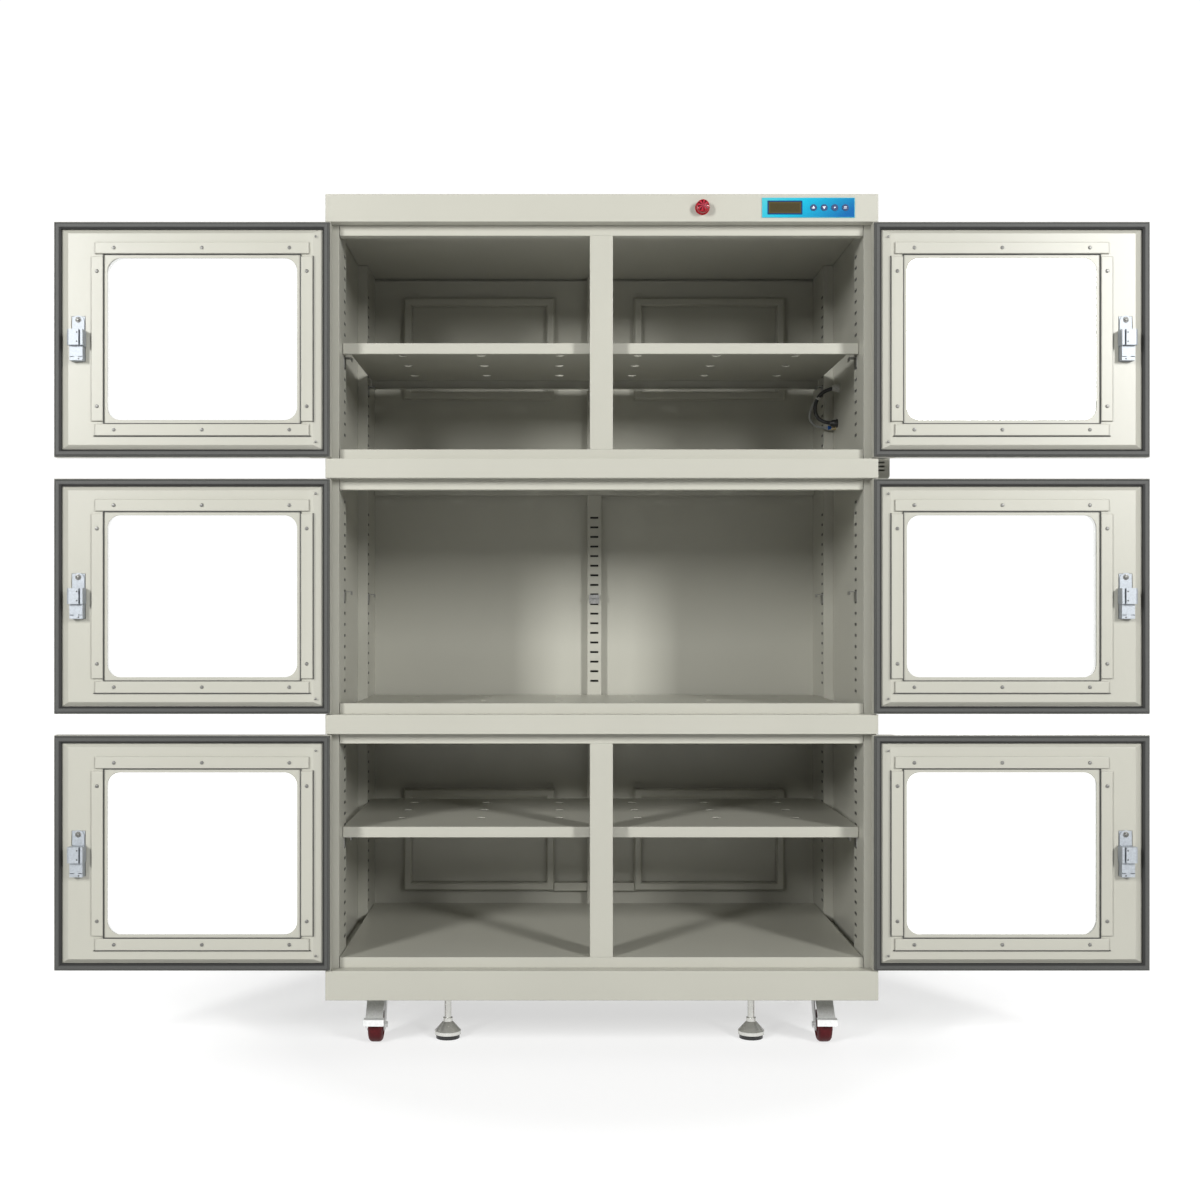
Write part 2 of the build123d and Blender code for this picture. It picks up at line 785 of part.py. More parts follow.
tab_radius = 13.0
tab_z = door_z + latch_cut_height / 2 - 11.7   # screw of the fixing tab
step_proud = 18.0                              # lower block beyond the inner face
with BuildPart() as latch_case:
    with BuildSketch(at_height(-pin_setback - 3)):
        with Locations((latch_x, door_z)):
            Rectangle(latch_width + 8, latch_height + 14)
        with Locations(((lever_gap_low + lever_gap_high) / 2, door_z)):
            Rectangle(lever_gap_high - lever_gap_low, tongue_height + 2 * touch,
                      mode=Mode.SUBTRACT)
    extrude(amount=3)
    block = (latch_cut_height - tongue_height) / 2 - 2 * touch
    for way in (-1, 1):
        block_z = door_z + way * (tongue_height / 2 + touch + block / 2)
        with BuildSketch(at_height(-pin_setback)):
            with Locations((latch_x, block_z)):
                Rectangle(latch_cut_width - 2, block)
        extrude(amount=door_thickness + (step_proud if way < 0 else 0))
    # round-topped fixing tab, screwed over the top of the cut-out
    tab_low = door_z + tongue_height / 2 + touch
    with BuildSketch(at_height(door_inner)):
        with Locations((latch_x, (tab_low + tab_z) / 2)):
            Rectangle(2 * tab_radius, tab_z - tab_low)
        with Locations((latch_x, tab_z)):
            Circle(tab_radius)
    extrude(amount=3)
    # slits that part the lower block from its end cap
    slit_z = door_z - tongue_height / 2 - touch - block + 8
    with BuildSketch(at_height(door_inner + step_proud)):
        with Locations((latch_x - 9, slit_z), (latch_x + 9, slit_z)):
            Rectangle(9, 1.6)
    extrude(amount=-6, mode=Mode.SUBTRACT)
    # upright pin between the two blocks, which the lever turns on
    with BuildSketch(Plane.XY.offset(door_z)):
        with Locations((pivot_x, pivot_y)):
            Circle(latch_pin_radius)
    extrude(amount=tongue_height / 2 + 2 * touch, both=True)


def pivot_outline(points):
    """Plan outline about the latch pivot."""
    with BuildSketch() as outline:
        with BuildLine():
            Polyline(*points, close=True)
        make_face()
    return outline.sketch


tongue_tip = tongue_neck + latch_proud
tongue_outline = pivot_outline([
    (-5, 4), (-5, -2), (6, 1 - tongue_neck), (-6, -14.5 - tongue_neck),
    (-7, 3 - tongue_tip), (-3, -tongue_tip), (18, -tongue_tip), (18, 9 - tongue_tip),
    (22, 9 - tongue_tip), (22, -tongue_tip), (27, -tongue_tip), (27, -2 - tongue_neck),
    (16, -2 - tongue_neck), (5, -2), (5, 4),
])
arm_outline = pivot_outline([(-3, 3), (10, 18), (10, 22), (24, 22), (24, 18), (6, -2)])
pull_outline = pivot_outline([(10, 18), (10, 22), (52, 22), (55, 18)])
with BuildPart() as lever:
    with BuildSketch(Plane.XY.offset(door_z - tongue_height / 2)):
        with Locations((pivot_x, pivot_y)):
            add(tongue_outline)
        with Locations(Location((pivot_x, pivot_y, 0), (0, 0, latch_swing))):
            add(arm_outline)
    extrude(amount=tongue_height)
    with BuildSketch(Plane.XY.offset(door_z - 45)):
        with Locations(Location((pivot_x, pivot_y, 0), (0, 0, latch_swing))):
            add(pull_outline)
    extrude(amount=90)
    with BuildSketch(Plane.XY.offset(door_z)):
        with Locations((pivot_x, pivot_y)):
            Circle(latch_pin_radius + running)
    extrude(amount=tongue_height, both=True, mode=Mode.SUBTRACT)

for row, row_name in enumerate(row_names):
    rise = Location((0, 0, bay_rise * row))
    for side_name in ("left", "right"):
        pieces = {
            "panel": [skin.part, door_liner.part, *strips.part.solids()],
            "glass": [glass.part],
            "gasket": [gasket.part],
            "latch_case": [latch_case.part],
            "latch_lever": [lever.part],
        }
        for piece_name, solids in pieces.items():
            placed = [solid.moved(rise) for solid in solids]
            if side_name == "right":
                placed = [solid.mirror(Plane.YZ) for solid in placed]
            save(placed, f"door_{row_name}_{side_name}_{piece_name}")

# ---------------------------------------------------------------- castors and feet
castor_plate = 4.0
race_radius = 22.0
kingpin_radius = 6.0
axle_radius = 4.0
fork_gauge = 3.0
brake_gauge = 2.5
fork_half = wheel_width / 2 + 1.0
crown_top = ground_clearance - castor_plate - 0.5
crown_low = crown_top - 13.0
axle_z = wheel_diameter / 2
castor_places = {
    "front_left": (-castor_x, front + castor_front),
    "front_right": (castor_x, front + castor_front),
    "rear_left": (-castor_x, back - castor_back),
    "rear_right": (castor_x, back - castor_back),
}

with BuildPart() as fork:
    with BuildSketch(Plane.XY.offset(crown_low)):
        Circle(race_radius)
    extrude(amount=crown_top - crown_low)
    with BuildSketch(Plane.XY.offset(crown_low)):
        Rectangle(2 * (fork_half + fork_gauge), 44)
    extrude(amount=-fork_gauge)
    # two cheeks that reach back to the axle
    for cheek in (fork_half, -fork_half - fork_gauge):
        with BuildSketch(Plane.YZ.offset(cheek)):
            with BuildLine():
                Polyline(
                    (20, crown_low - fork_gauge), (20, crown_low - 10),
                    (12 - castor_trail, axle_z - 5), (6 - castor_trail, axle_z - 12),
                    (-6 - castor_trail, axle_z - 12), (-12 - castor_trail, axle_z - 5),
                    (-22, crown_low - fork_gauge), close=True,
                )
            make_face()
        extrude(amount=fork_gauge)
    with BuildSketch(Plane.XY.offset(crown_top)):
        Circle(kingpin_radius + running)
    extrude(amount=-2 * (crown_top - crown_low), mode=Mode.SUBTRACT)
    with BuildSketch(Plane.YZ):
        with Locations((-castor_trail, axle_z)):
            Circle(axle_radius)
    extrude(amount=fork_half + fork_gauge + 1, both=True)
    for side in (-1, 1):
        with BuildSketch(Plane.YZ.offset(side * (fork_half + fork_gauge))):
            with Locations((-castor_trail, axle_z)):
                RegularPolygon(axle_radius + 3, 6)
        extrude(amount=side * 5)

with BuildPart() as brake:
    with BuildSketch(Plane.YZ):
        add(folded(
            [
                (-22, crown_low - fork_gauge - 1),
                (-48, crown_low - 18),
                (-78, 64),
                (-90, 62),
                (-92, 48),
            ],
            gauge=brake_gauge,
            side=Side.LEFT,
        ))
    extrude(amount=fork_half + 2, both=True)
    with BuildSketch(Plane.YZ):
        add(folded([(-78, 64), (-90, 62), (-92, 48)], gauge=brake_gauge, side=Side.LEFT))
    extrude(amount=fork_half + 5, both=True)

wheel_radius = wheel_diameter / 2
with BuildPart() as wheel:
    with BuildSketch(Plane.YZ):
        Circle(wheel_radius)
        Circle(axle_radius + running, mode=Mode.SUBTRACT)
    extrude(amount=wheel_width / 2, both=True)
wheel_place = Location((0, -castor_trail, axle_z))

plates = []
for name, (x, y) in castor_places.items():
    with BuildPart() as mounting:
        with BuildSketch(Plane.XY.offset(ground_clearance)):
            with Locations((x, y)):
                Rectangle(60, 80)
        extrude(amount=-castor_plate)
        with BuildSketch(Plane.XY.offset(ground_clearance)):
            with Locations((x, y)):
                Circle(kingpin_radius)
        extrude(amount=-(castor_plate + 0.5 + crown_top - crown_low))
    plates.append(mounting.part)
    place = Location((x, y, 0))
    fork_solids = [fork.part]
    if name.startswith("front"):
        fork_solids.append(brake.part)
    save([solid.moved(place) for solid in fork_solids], f"castor_{name}_fork")
    save([wheel.part.moved(place * wheel_place)], f"castor_{name}_wheel")
save(plates, "castor_plates")

pad_height = 9.0
foot_top = base_top - sheet - foot_travel - 2
with BuildPart() as foot_steel:
    with BuildSketch(Plane.XZ):
        with BuildLine():
            Polyline(
                (0, pad_height), (foot_base / 2, pad_height), (foot_base / 2, 17),
                (foot_spindle / 2 + 3, 38), (foot_spindle / 2 + 3, 46),
                (foot_spindle / 2, 46), (foot_spindle / 2, foot_top),
                (0, foot_top), close=True,
            )
        make_face()
    revolve(axis=Axis.Z)
with BuildPart() as foot_pad:
    with BuildSketch():
        Circle(foot_base / 2 - 3)
    extrude(amount=pad_height)
for side_name, x in {"left": -foot_x, "right": foot_x}.items():
    place = Location((x, front + foot_setback, 0))
    save([foot_steel.part.moved(place), foot_pad.part.moved(place)],
         f"foot_{side_name}")
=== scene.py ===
"""Dry cabinet with three bays and six glazed doors: its finishes, fixings and light."""

import math

import bmesh
import bpy
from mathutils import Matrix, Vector


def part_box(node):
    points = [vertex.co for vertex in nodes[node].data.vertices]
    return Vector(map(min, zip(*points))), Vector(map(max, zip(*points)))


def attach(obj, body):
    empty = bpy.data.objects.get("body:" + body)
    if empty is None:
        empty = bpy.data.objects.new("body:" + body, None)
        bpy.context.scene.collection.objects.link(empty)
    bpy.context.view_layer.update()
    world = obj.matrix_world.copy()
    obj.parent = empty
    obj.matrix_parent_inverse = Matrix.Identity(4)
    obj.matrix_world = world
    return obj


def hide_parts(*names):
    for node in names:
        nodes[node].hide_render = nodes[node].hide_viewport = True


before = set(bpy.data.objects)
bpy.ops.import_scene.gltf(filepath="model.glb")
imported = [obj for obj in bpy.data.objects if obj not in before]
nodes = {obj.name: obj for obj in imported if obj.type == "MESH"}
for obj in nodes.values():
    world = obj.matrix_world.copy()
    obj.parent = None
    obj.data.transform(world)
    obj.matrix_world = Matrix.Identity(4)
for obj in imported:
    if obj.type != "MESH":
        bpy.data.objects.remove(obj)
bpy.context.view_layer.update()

# ---------------------------------------------------------------------- studio and camera
# A white room with a pale floor, two soft boxes in front of the cabinet, left and right,
# a wide one overhead and one behind.  The camera stands a little left of the middle, at
# half the cabinet's height.
front_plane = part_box("front_bands")[0].y
camera_distance = 3.268
camera_side = -0.098
camera_height = 0.962
camera_data = bpy.data.cameras.new("camera")
camera_data.sensor_width = 36.0
camera_data.lens = 45.18
camera_data.shift_x = 0.0361
camera_data.shift_y = 0.0142
camera_data.clip_end = 100.0
camera = bpy.data.objects.new("camera", camera_data)
camera.location = (camera_side, front_plane - camera_distance, camera_height)
camera.rotation_euler = (math.radians(90), 0, 0)
bpy.context.scene.collection.objects.link(camera)
bpy.context.scene.camera = camera
bpy.context.scene.view_settings.view_transform = "Standard"


def sum_node(tree, operation, first, second=None):
    """One sum in a node tree; each term is a number or a socket."""
    node = tree.nodes.new("ShaderNodeMath")
    node.operation = operation
    for socket, value in zip(node.inputs, (first, second)):
        if isinstance(value, (int, float)):
            socket.default_value = value
        elif value is not None:
            tree.links.new(value, socket)
    return node.outputs[0]


def spread(tree, value, to_low, to_high, low=0.0, high=1.0):
    """A value that runs from low to high, mapped on to another range and held at its ends."""
    node = tree.nodes.new("ShaderNodeMapRange")
    for name, end in (("From Min", low), ("From Max", high),
                      ("To Min", to_low), ("To Max", to_high)):
        node.inputs[name].default_value = end
    tree.links.new(value, node.inputs["Value"])
    return node.outputs["Result"]


# Straight and through glass the walls show white; they light the cabinet only dimly.
world = bpy.data.worlds.new("studio")
world.use_nodes = True
world_tree = world.node_tree
white_wall = world_tree.nodes["Background"]
white_wall.inputs["Color"].default_value = (1.0, 1.0, 1.0, 1.0)
white_wall.inputs["Strength"].default_value = 1.05
dim_wall = world_tree.nodes.new("ShaderNodeBackground")
dim_wall.inputs["Color"].default_value = (1.0, 1.0, 1.0, 1.0)
ray = world_tree.nodes.new("ShaderNodeLightPath")
dim_light = spread(world_tree, ray.outputs["Is Diffuse Ray"], 0.42, 0.03)
world_tree.links.new(dim_light, dim_wall.inputs["Strength"])
seen_straight = sum_node(world_tree, "MAXIMUM", ray.outputs["Is Camera Ray"],
                         ray.outputs["Is Transmission Ray"])
by_ray = world_tree.nodes.new("ShaderNodeMixShader")
world_tree.links.new(seen_straight, by_ray.inputs["Fac"])
world_tree.links.new(dim_wall.outputs[0], by_ray.inputs[1])
world_tree.links.new(white_wall.outputs[0], by_ray.inputs[2])
world_tree.links.new(by_ray.outputs[0], world_tree.nodes["World Output"].inputs["Surface"])
bpy.context.scene.world = world


def soft_box(name, place, aim, wide, high, power):
    """One rectangular studio lamp turned to the point that it lights."""
    light = bpy.data.lights.new(name, "AREA")
    light.shape = "RECTANGLE"
    light.size = wide
    light.size_y = high
    light.energy = power
    box = bpy.data.objects.new(name, light)
    box.location = place
    direction = Vector(aim) - Vector(place)
    box.rotation_euler = direction.to_track_quat("-Z", "Y").to_euler()
    bpy.context.scene.collection.objects.link(box)


soft_box("key_left", place=(-4.2, -6.0, 3.2), aim=(0, 0, 0.95), wide=0.9, high=2.1, power=430)
soft_box("key_right", place=(4.1, -6.0, 3.2), aim=(0, 0, 0.95), wide=0.9, high=2.1, power=440)
soft_box("top_fill", place=(0, -1.2, 4.5), aim=(0, 0, 0.9), wide=3.0, high=2.0, power=12)
soft_box("back_fill", place=(2.6, 6.0, 3.2), aim=(0, 0.3, 0.95), wide=2.6, high=2.4, power=110)


def new_material(name):
    """A material with its own tree and shader: all three are returned."""
    material = bpy.data.materials.new(name)
    material.use_nodes = True
    return material, material.node_tree, material.node_tree.nodes["Principled BSDF"]


def surface_place(tree):
    """Where a point of the surface lies, in metres."""
    return tree.nodes.new("ShaderNodeTexCoord").outputs["Object"]


floor_reach = 30.0
floor_mesh = bpy.data.meshes.new("studio_floor")
floor_mesh.from_pydata(
    [(-floor_reach, -floor_reach, 0), (floor_reach, -floor_reach, 0),
     (floor_reach, floor_reach, 0), (-floor_reach, floor_reach, 0)], [], [(0, 1, 2, 3)]
)
studio_floor = bpy.data.objects.new("studio_floor", floor_mesh)
bpy.context.scene.collection.objects.link(studio_floor)
floor_white, floor_tree, floor_shader = new_material("studio_floor_white")
floor_shader.inputs["Base Color"].default_value = (0.43, 0.43, 0.43, 1)
floor_shader.inputs["Roughness"].default_value = 0.9
floor_shader.inputs["Specular IOR Level"].default_value = 0.0
floor_away = floor_tree.nodes.new("ShaderNodeVectorMath")
floor_away.operation = "LENGTH"
floor_tree.links.new(surface_place(floor_tree), floor_away.inputs[0])
floor_fade = spread(floor_tree, floor_away.outputs["Value"], 0.60, 1.05, low=0.7, high=1.7)
floor_ray = floor_tree.nodes.new("ShaderNodeLightPath")
floor_seen = sum_node(floor_tree, "SUBTRACT", 1.0, floor_ray.outputs["Is Diffuse Ray"])
floor_shader.inputs["Emission Color"].default_value = (1, 1, 1, 1)
floor_tree.links.new(sum_node(floor_tree, "MULTIPLY", floor_fade, floor_seen),
                     floor_shader.inputs["Emission Strength"])
floor_mesh.materials.append(floor_white)

# ---------------------------------------------------------------------- cabinet body
# Folded steel sheet, welded and powder coated in a warm light grey.  The coat has a fine
# orange-peel surface, and the bends are slightly rounded.


def coat_group():
    """Powder coat: a slightly uneven colour, roughness and orange-peel height."""
    group = bpy.data.node_groups.new("powder_coat", "ShaderNodeTree")
    for name, way, kind in (("Colour", "INPUT", "Color"), ("Unevenness", "INPUT", "Float"),
                            ("Peel Scale", "INPUT", "Float"), ("Colour", "OUTPUT", "Color"),
                            ("Roughness", "OUTPUT", "Float"), ("Height", "OUTPUT", "Float")):
        group.interface.new_socket(name, in_out=way, socket_type=f"NodeSocket{kind}")
    tree = group.nodes
    link = group.links.new
    taken = tree.new("NodeGroupInput")
    given = tree.new("NodeGroupOutput")
    drift = tree.new("ShaderNodeTexNoise")
    drift.inputs["Scale"].default_value = 3.0
    drift.inputs["Detail"].default_value = 3.0
    link(surface_place(group), drift.inputs["Vector"])
    peel = tree.new("ShaderNodeTexNoise")
    peel.inputs["Detail"].default_value = 2.0
    link(surface_place(group), peel.inputs["Vector"])
    link(taken.outputs["Peel Scale"], peel.inputs["Scale"])
    thinnest = sum_node(group, "SUBTRACT", 1.0, taken.outputs["Unevenness"])
    span = tree.new("ShaderNodeMapRange")
    span.inputs["From Min"].default_value = 0.3
    span.inputs["From Max"].default_value = 0.7
    link(drift.outputs["Fac"], span.inputs["Value"])
    link(thinnest, span.inputs["To Min"])
    span.inputs["To Max"].default_value = 1.0
    tint = tree.new("ShaderNodeVectorMath")
    tint.operation = "SCALE"
    link(taken.outputs["Colour"], tint.inputs[0])
    link(span.outputs["Result"], tint.inputs["Scale"])
    link(tint.outputs[0], given.inputs["Colour"])
    link(spread(group, peel.outputs["Fac"], 0.26, 0.38), given.inputs["Roughness"])
    link(peel.outputs["Fac"], given.inputs["Height"])
    return group


coat = coat_group()
bend_radius, peel_depth = 0.0018, 0.0004


def painted(name, colour, unevenness=0.05, peel_scale=900.0, bump=0.15):
    """Powder-coated steel."""
    material, tree, shader = new_material(name)
    layer = tree.nodes.new("ShaderNodeGroup")
    layer.node_tree = coat
    layer.inputs["Colour"].default_value = (*colour, 1)
    layer.inputs["Unevenness"].default_value = unevenness
    layer.inputs["Peel Scale"].default_value = peel_scale
    bend = tree.nodes.new("ShaderNodeBevel")
    bend.samples = 6
    bend.inputs["Radius"].default_value = bend_radius
    surface = tree.nodes.new("ShaderNodeBump")
    surface.inputs["Strength"].default_value = bump
    surface.inputs["Distance"].default_value = peel_depth
    tree.links.new(bend.outputs["Normal"], surface.inputs["Normal"])
    tree.links.new(layer.outputs["Colour"], shader.inputs["Base Color"])
    tree.links.new(layer.outputs["Roughness"], shader.inputs["Roughness"])
    tree.links.new(layer.outputs["Height"], surface.inputs["Height"])
    tree.links.new(surface.outputs["Normal"], shader.inputs["Normal"])
    shader.inputs["Specular IOR Level"].default_value = 0.45
    return material


def finish_node(name, material, bevel=0.0):
    """Give a CAD node its finish and, if asked, the small radius of its edges."""
    piece = nodes[name]
    for place in piece.material_slots:
        place.material = material
    if not piece.material_slots:
        piece.data.materials.append(material)
    if bevel:
        edge = piece.modifiers.new("edge_radius", "BEVEL")
        edge.width = bevel
        edge.segments = 2
        edge.limit_method = "ANGLE"
        edge.angle_limit = math.radians(40)
        edge.harden_normals = True


body_grey = (0.415, 0.410, 0.355)
body_paint = painted("body_paint", body_grey)
for name in ("outer_panels", "front_bands", "base_plinth", "face_frame",
             "decks", "shelves", "dryer_frames", "side_box"):
    finish_node(name, body_paint)

# ---------------------------------------------------------------------- shelf posts
# Slotted corner posts, a slotted column at the back and two centre posts, all of folded
# steel with the body's coat.  The corner posts' slots are drawn as dark level marks, one
# every 25 mm over each bay's height: painted shade, for the unlit hollow behind each slot.


def place_parts(tree):
    """The three parts of a surface point's place, by name."""
    parts = tree.nodes.new("ShaderNodeSeparateXYZ")
    tree.links.new(surface_place(tree), parts.inputs[0])
    return parts.outputs


def within(tree, value, middle, half):
    """A mask of one where a value lies within half of the middle."""
    off = sum_node(tree, "ABSOLUTE", sum_node(tree, "SUBTRACT", value, middle))
    return sum_node(tree, "LESS_THAN", off, half)


def all_of(tree, *masks):
    """A mask of one where every one of the masks is one."""
    joined = masks[0]
    for mask in masks[1:]:
        joined = sum_node(tree, "MULTIPLY", joined, mask)
    return joined


def mix_colour(tree, mask, below, above):
    """One colour over another where the mask is one; each is a colour or a socket."""
    mix = tree.nodes.new("ShaderNodeMix")
    mix.data_type = "RGBA"
    tree.links.new(mask, mix.inputs["Factor"])
    for socket, value in ((mix.inputs[6], below), (mix.inputs[7], above)):
        if isinstance(value, tuple):
            socket.default_value = value
        else:
            tree.links.new(value, socket)
    return mix.outputs[2]


def mark_finish(material, mask, colour):
    """Lay a colour over a finish's own where the mask is one."""
    tree = material.node_tree
    base = tree.nodes["Principled BSDF"].inputs["Base Color"]
    tree.links.new(mix_colour(tree, mask, base.links[0].from_socket, colour), base)


posts_low, posts_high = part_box("posts")
row_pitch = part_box("door_middle_left_panel")[0].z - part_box("door_lower_left_panel")[0].z
slot_pitch, first_slot = 0.025, 0.2457
mark_deep, mark_high, mark_reach = 0.0250, 0.0060, 0.0012
marks_start, marks_end = 0.043, 0.486
front_slots, rear_slots = -0.207, 0.220
post_face = posts_high.x - 0.0245
post_paint = painted("post_paint", body_grey)
post_tree = post_paint.node_tree
post_parts = place_parts(post_tree)
above_gap = sum_node(post_tree, "SUBTRACT", post_parts["Z"], first_slot - slot_pitch / 2)
slot_rise = sum_node(post_tree, "FLOORED_MODULO", above_gap, slot_pitch)
above_plinth = sum_node(post_tree, "SUBTRACT", post_parts["Z"], posts_low.z)
bay_rise = sum_node(post_tree, "FLOORED_MODULO", above_plinth, row_pitch)
slot_shade_mask = all_of(
    post_tree,
    within(post_tree, slot_rise, slot_pitch / 2, mark_high / 2),
    within(post_tree, bay_rise, (marks_start + marks_end) / 2, (marks_end - marks_start) / 2),
    within(post_tree, sum_node(post_tree, "ABSOLUTE", post_parts["X"]), post_face,
           mark_reach / 2),
    sum_node(post_tree, "MAXIMUM",
             within(post_tree, post_parts["Y"], front_slots, mark_deep / 2),
             within(post_tree, post_parts["Y"], rear_slots, mark_deep / 2)))
# The marks are near black: painted shade of the hollow behind each slot.
mark_finish(post_paint, slot_shade_mask, (0.004, 0.004, 0.004, 1))
finish_node("posts", post_paint)

# The strip of the back wall that shows only through the rear column's slots is drawn
# dark, because hardly any light gets into that hollow.
column_hollow = 0.033
wall_reach = 0.002
back_paint = painted("back_paint", body_grey)
back_tree = back_paint.node_tree
back_parts = place_parts(back_tree)
hollow_mask = all_of(back_tree,
                     within(back_tree, back_parts["X"], 0.0, column_hollow / 2),
                     within(back_tree, back_parts["Y"], posts_high.y, wall_reach / 2))
mark_finish(back_paint, hollow_mask, (0.012, 0.012, 0.011, 1))
finish_node("back_panel", back_paint)

# ---------------------------------------------------------------------- door leaves
# Each door is a folded outer skin and a dished liner, powder coated like the body, with
# four folded strips screwed down round the window.
door_names = [f"door_{row}_{side}" for row in ("lower", "middle", "upper")
              for side in ("left", "right")]
door_paint = painted("door_paint", body_grey, unevenness=0.04)
door_tree = door_paint.node_tree
hinge_line = abs(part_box("door_upper_left_panel")[1].x)
# The coat is duller on the slope beside the seal, on the hinge side.
slope_start, slope_end = 0.042, 0.050
from_middle = sum_node(door_tree, "ABSOLUTE", place_parts(door_tree)["X"])
dull = spread(door_tree, from_middle, 0.34, 0.0,
              low=hinge_line + slope_start, high=hinge_line + slope_end)
door_layer = next(node for node in door_tree.nodes if node.type == "GROUP")
door_tree.links.new(sum_node(door_tree, "ADD", door_layer.outputs["Roughness"], dull),
                    door_tree.nodes["Principled BSDF"].inputs["Roughness"])
for door in door_names:
    finish_node(f"{door}_panel", door_paint)

# ---------------------------------------------------------------------- door seals
# A dark grey hollow rubber section, glued in the channel round each door's edge.  Its
# skin is matt, with fine extrusion marks.  The light and shade of its section's lip and
# channel are painted across it in bands: painted highlight and painted shade.


def noise_over(tree, scale, detail=2.0):
    """Soft noise over the surface: its value at each point."""
    noise = tree.nodes.new("ShaderNodeTexNoise")
    noise.inputs["Scale"].default_value = scale
    noise.inputs["Detail"].default_value = detail
    tree.links.new(surface_place(tree), noise.inputs["Vector"])
    return noise.outputs["Fac"]


def cloudy_colour(tree, noise, colour, darkest, lightest):
    """A colour that drifts between two shares of itself as the noise goes up."""
    ramp = tree.nodes.new("ShaderNodeValToRGB")
    for end, position, share in zip(ramp.color_ramp.elements, (0.3, 0.7), (darkest, lightest)):
        end.position = position
        end.color = (*[part * share for part in colour], 1)
    tree.links.new(noise, ramp.inputs["Fac"])
    return ramp.outputs["Color"]


def rubber(name, colour, roughness, grain):
    """Matt moulded or extruded rubber."""
    material, tree, shader = new_material(name)
    noise = noise_over(tree, grain, detail=4.0)
    tree.links.new(cloudy_colour(tree, noise, colour, 0.82, 1.12), shader.inputs["Base Color"])
    surface = tree.nodes.new("ShaderNodeBump")
    surface.inputs["Strength"].default_value = 0.2
    surface.inputs["Distance"].default_value = 0.0005
    tree.links.new(noise, surface.inputs["Height"])
    tree.links.new(surface.outputs["Normal"], shader.inputs["Normal"])
    shader.inputs["Roughness"].default_value = roughness
    return material


seal_rubber = rubber("seal_rubber", (0.042, 0.043, 0.040), 0.6, 500.0)
seal_tree = seal_rubber.node_tree
seal_low, seal_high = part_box("door_lower_left_gasket")
seal_wide = 0.015


def on_every_door(tree, middle_x, middle_z):
    """Distances sideways and upwards from the same place on every door."""
    parts = place_parts(tree)
    out = sum_node(tree, "SUBTRACT", sum_node(tree, "ABSOLUTE", parts["X"]), middle_x)
    row = sum_node(tree, "SUBTRACT", parts["Z"], middle_z - row_pitch / 2)
    up = sum_node(tree, "SUBTRACT", sum_node(tree, "FLOORED_MODULO", row, row_pitch),
                  row_pitch / 2)
    return out, up


seal_out, seal_up = on_every_door(seal_tree, -(seal_low.x + seal_high.x) / 2,
                                  (seal_low.z + seal_high.z) / 2)
seal_side = sum_node(seal_tree, "SUBTRACT", (seal_high.x - seal_low.x) / 2,
                     sum_node(seal_tree, "ABSOLUTE", seal_out))
seal_end = sum_node(seal_tree, "SUBTRACT", (seal_high.z - seal_low.z) / 2,
                    sum_node(seal_tree, "ABSOLUTE", seal_up))
seal_across = sum_node(seal_tree, "MULTIPLY",
                       sum_node(seal_tree, "MINIMUM", seal_side, seal_end), 1 / seal_wide)
# Painted highlight and shade across the section, from its outer lip (0) to its inner edge (1).
seal_light_and_shade = seal_tree.nodes.new("ShaderNodeValToRGB")
seal_light_and_shade.color_ramp.elements[0].position = 0.0
seal_light_and_shade.color_ramp.elements[0].color = (1.9, 1.9, 1.9, 1)
seal_light_and_shade.color_ramp.elements[1].position = 1.0
seal_light_and_shade.color_ramp.elements[1].color = (0.16, 0.16, 0.16, 1)
for place, shade in ((0.10, 1.7), (0.17, 0.75), (0.30, 1.15), (0.62, 1.05), (0.76, 0.28)):
    seal_light_and_shade.color_ramp.elements.new(place).color = (shade, shade, shade, 1)
seal_tree.links.new(seal_across, seal_light_and_shade.inputs["Fac"])
seal_shader = seal_tree.nodes["Principled BSDF"]
seal_shade_tint = seal_tree.nodes.new("ShaderNodeMix")
seal_shade_tint.data_type = "RGBA"
seal_shade_tint.blend_type = "MULTIPLY"
seal_shade_tint.inputs["Factor"].default_value = 1.0
seal_tree.links.new(seal_shader.inputs["Base Color"].links[0].from_socket, seal_shade_tint.inputs[6])
seal_tree.links.new(seal_light_and_shade.outputs["Color"], seal_shade_tint.inputs[7])
seal_tree.links.new(seal_shade_tint.outputs[2], seal_shader.inputs["Base Color"])
for door in door_names:
    finish_node(f"{door}_gasket", seal_rubber)

# ---------------------------------------------------------------------- window glass
# Clear toughened float glass, four millimetres, faintly green at its edges, bedded on a
# thin black bead that shows as a line inside each clamping strip.  Two more black runs,
# under the lowest strip and beside the strip by the hinges, are painted shadow of those
# strips.


def middle_of(name):
    """The middle of a CAD node's box."""
    return tuple((low + high) / 2 for low, high in zip(*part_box(name)))


def skin_rings(shell, rings, closed=True):
    """Faces from each ring of points to the next and, if closed, one at each end."""
    for lower, upper in zip(rings, rings[1:]):
        for step in range(len(lower)):
            after = (step + 1) % len(lower)
            shell.faces.new((lower[step], lower[after], upper[after], upper[step]))
    if closed:
        shell.faces.new(rings[-1])
        shell.faces.new(list(reversed(rings[0])))


def finish_piece(name, shell, material, body, smooth=40):
    """Turn a bmesh into a piece that rides on a body."""
    bmesh.ops.recalc_face_normals(shell, faces=shell.faces[:])
    mesh = bpy.data.meshes.new(name)
    shell.to_mesh(mesh)
    shell.free()
    for face in mesh.polygons:
        face.use_smooth = True
    mesh.set_sharp_from_angle(angle=math.radians(smooth))
    mesh.materials.append(material)
    piece = bpy.data.objects.new(name, mesh)
    bpy.context.scene.collection.objects.link(piece)
    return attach(piece, body)


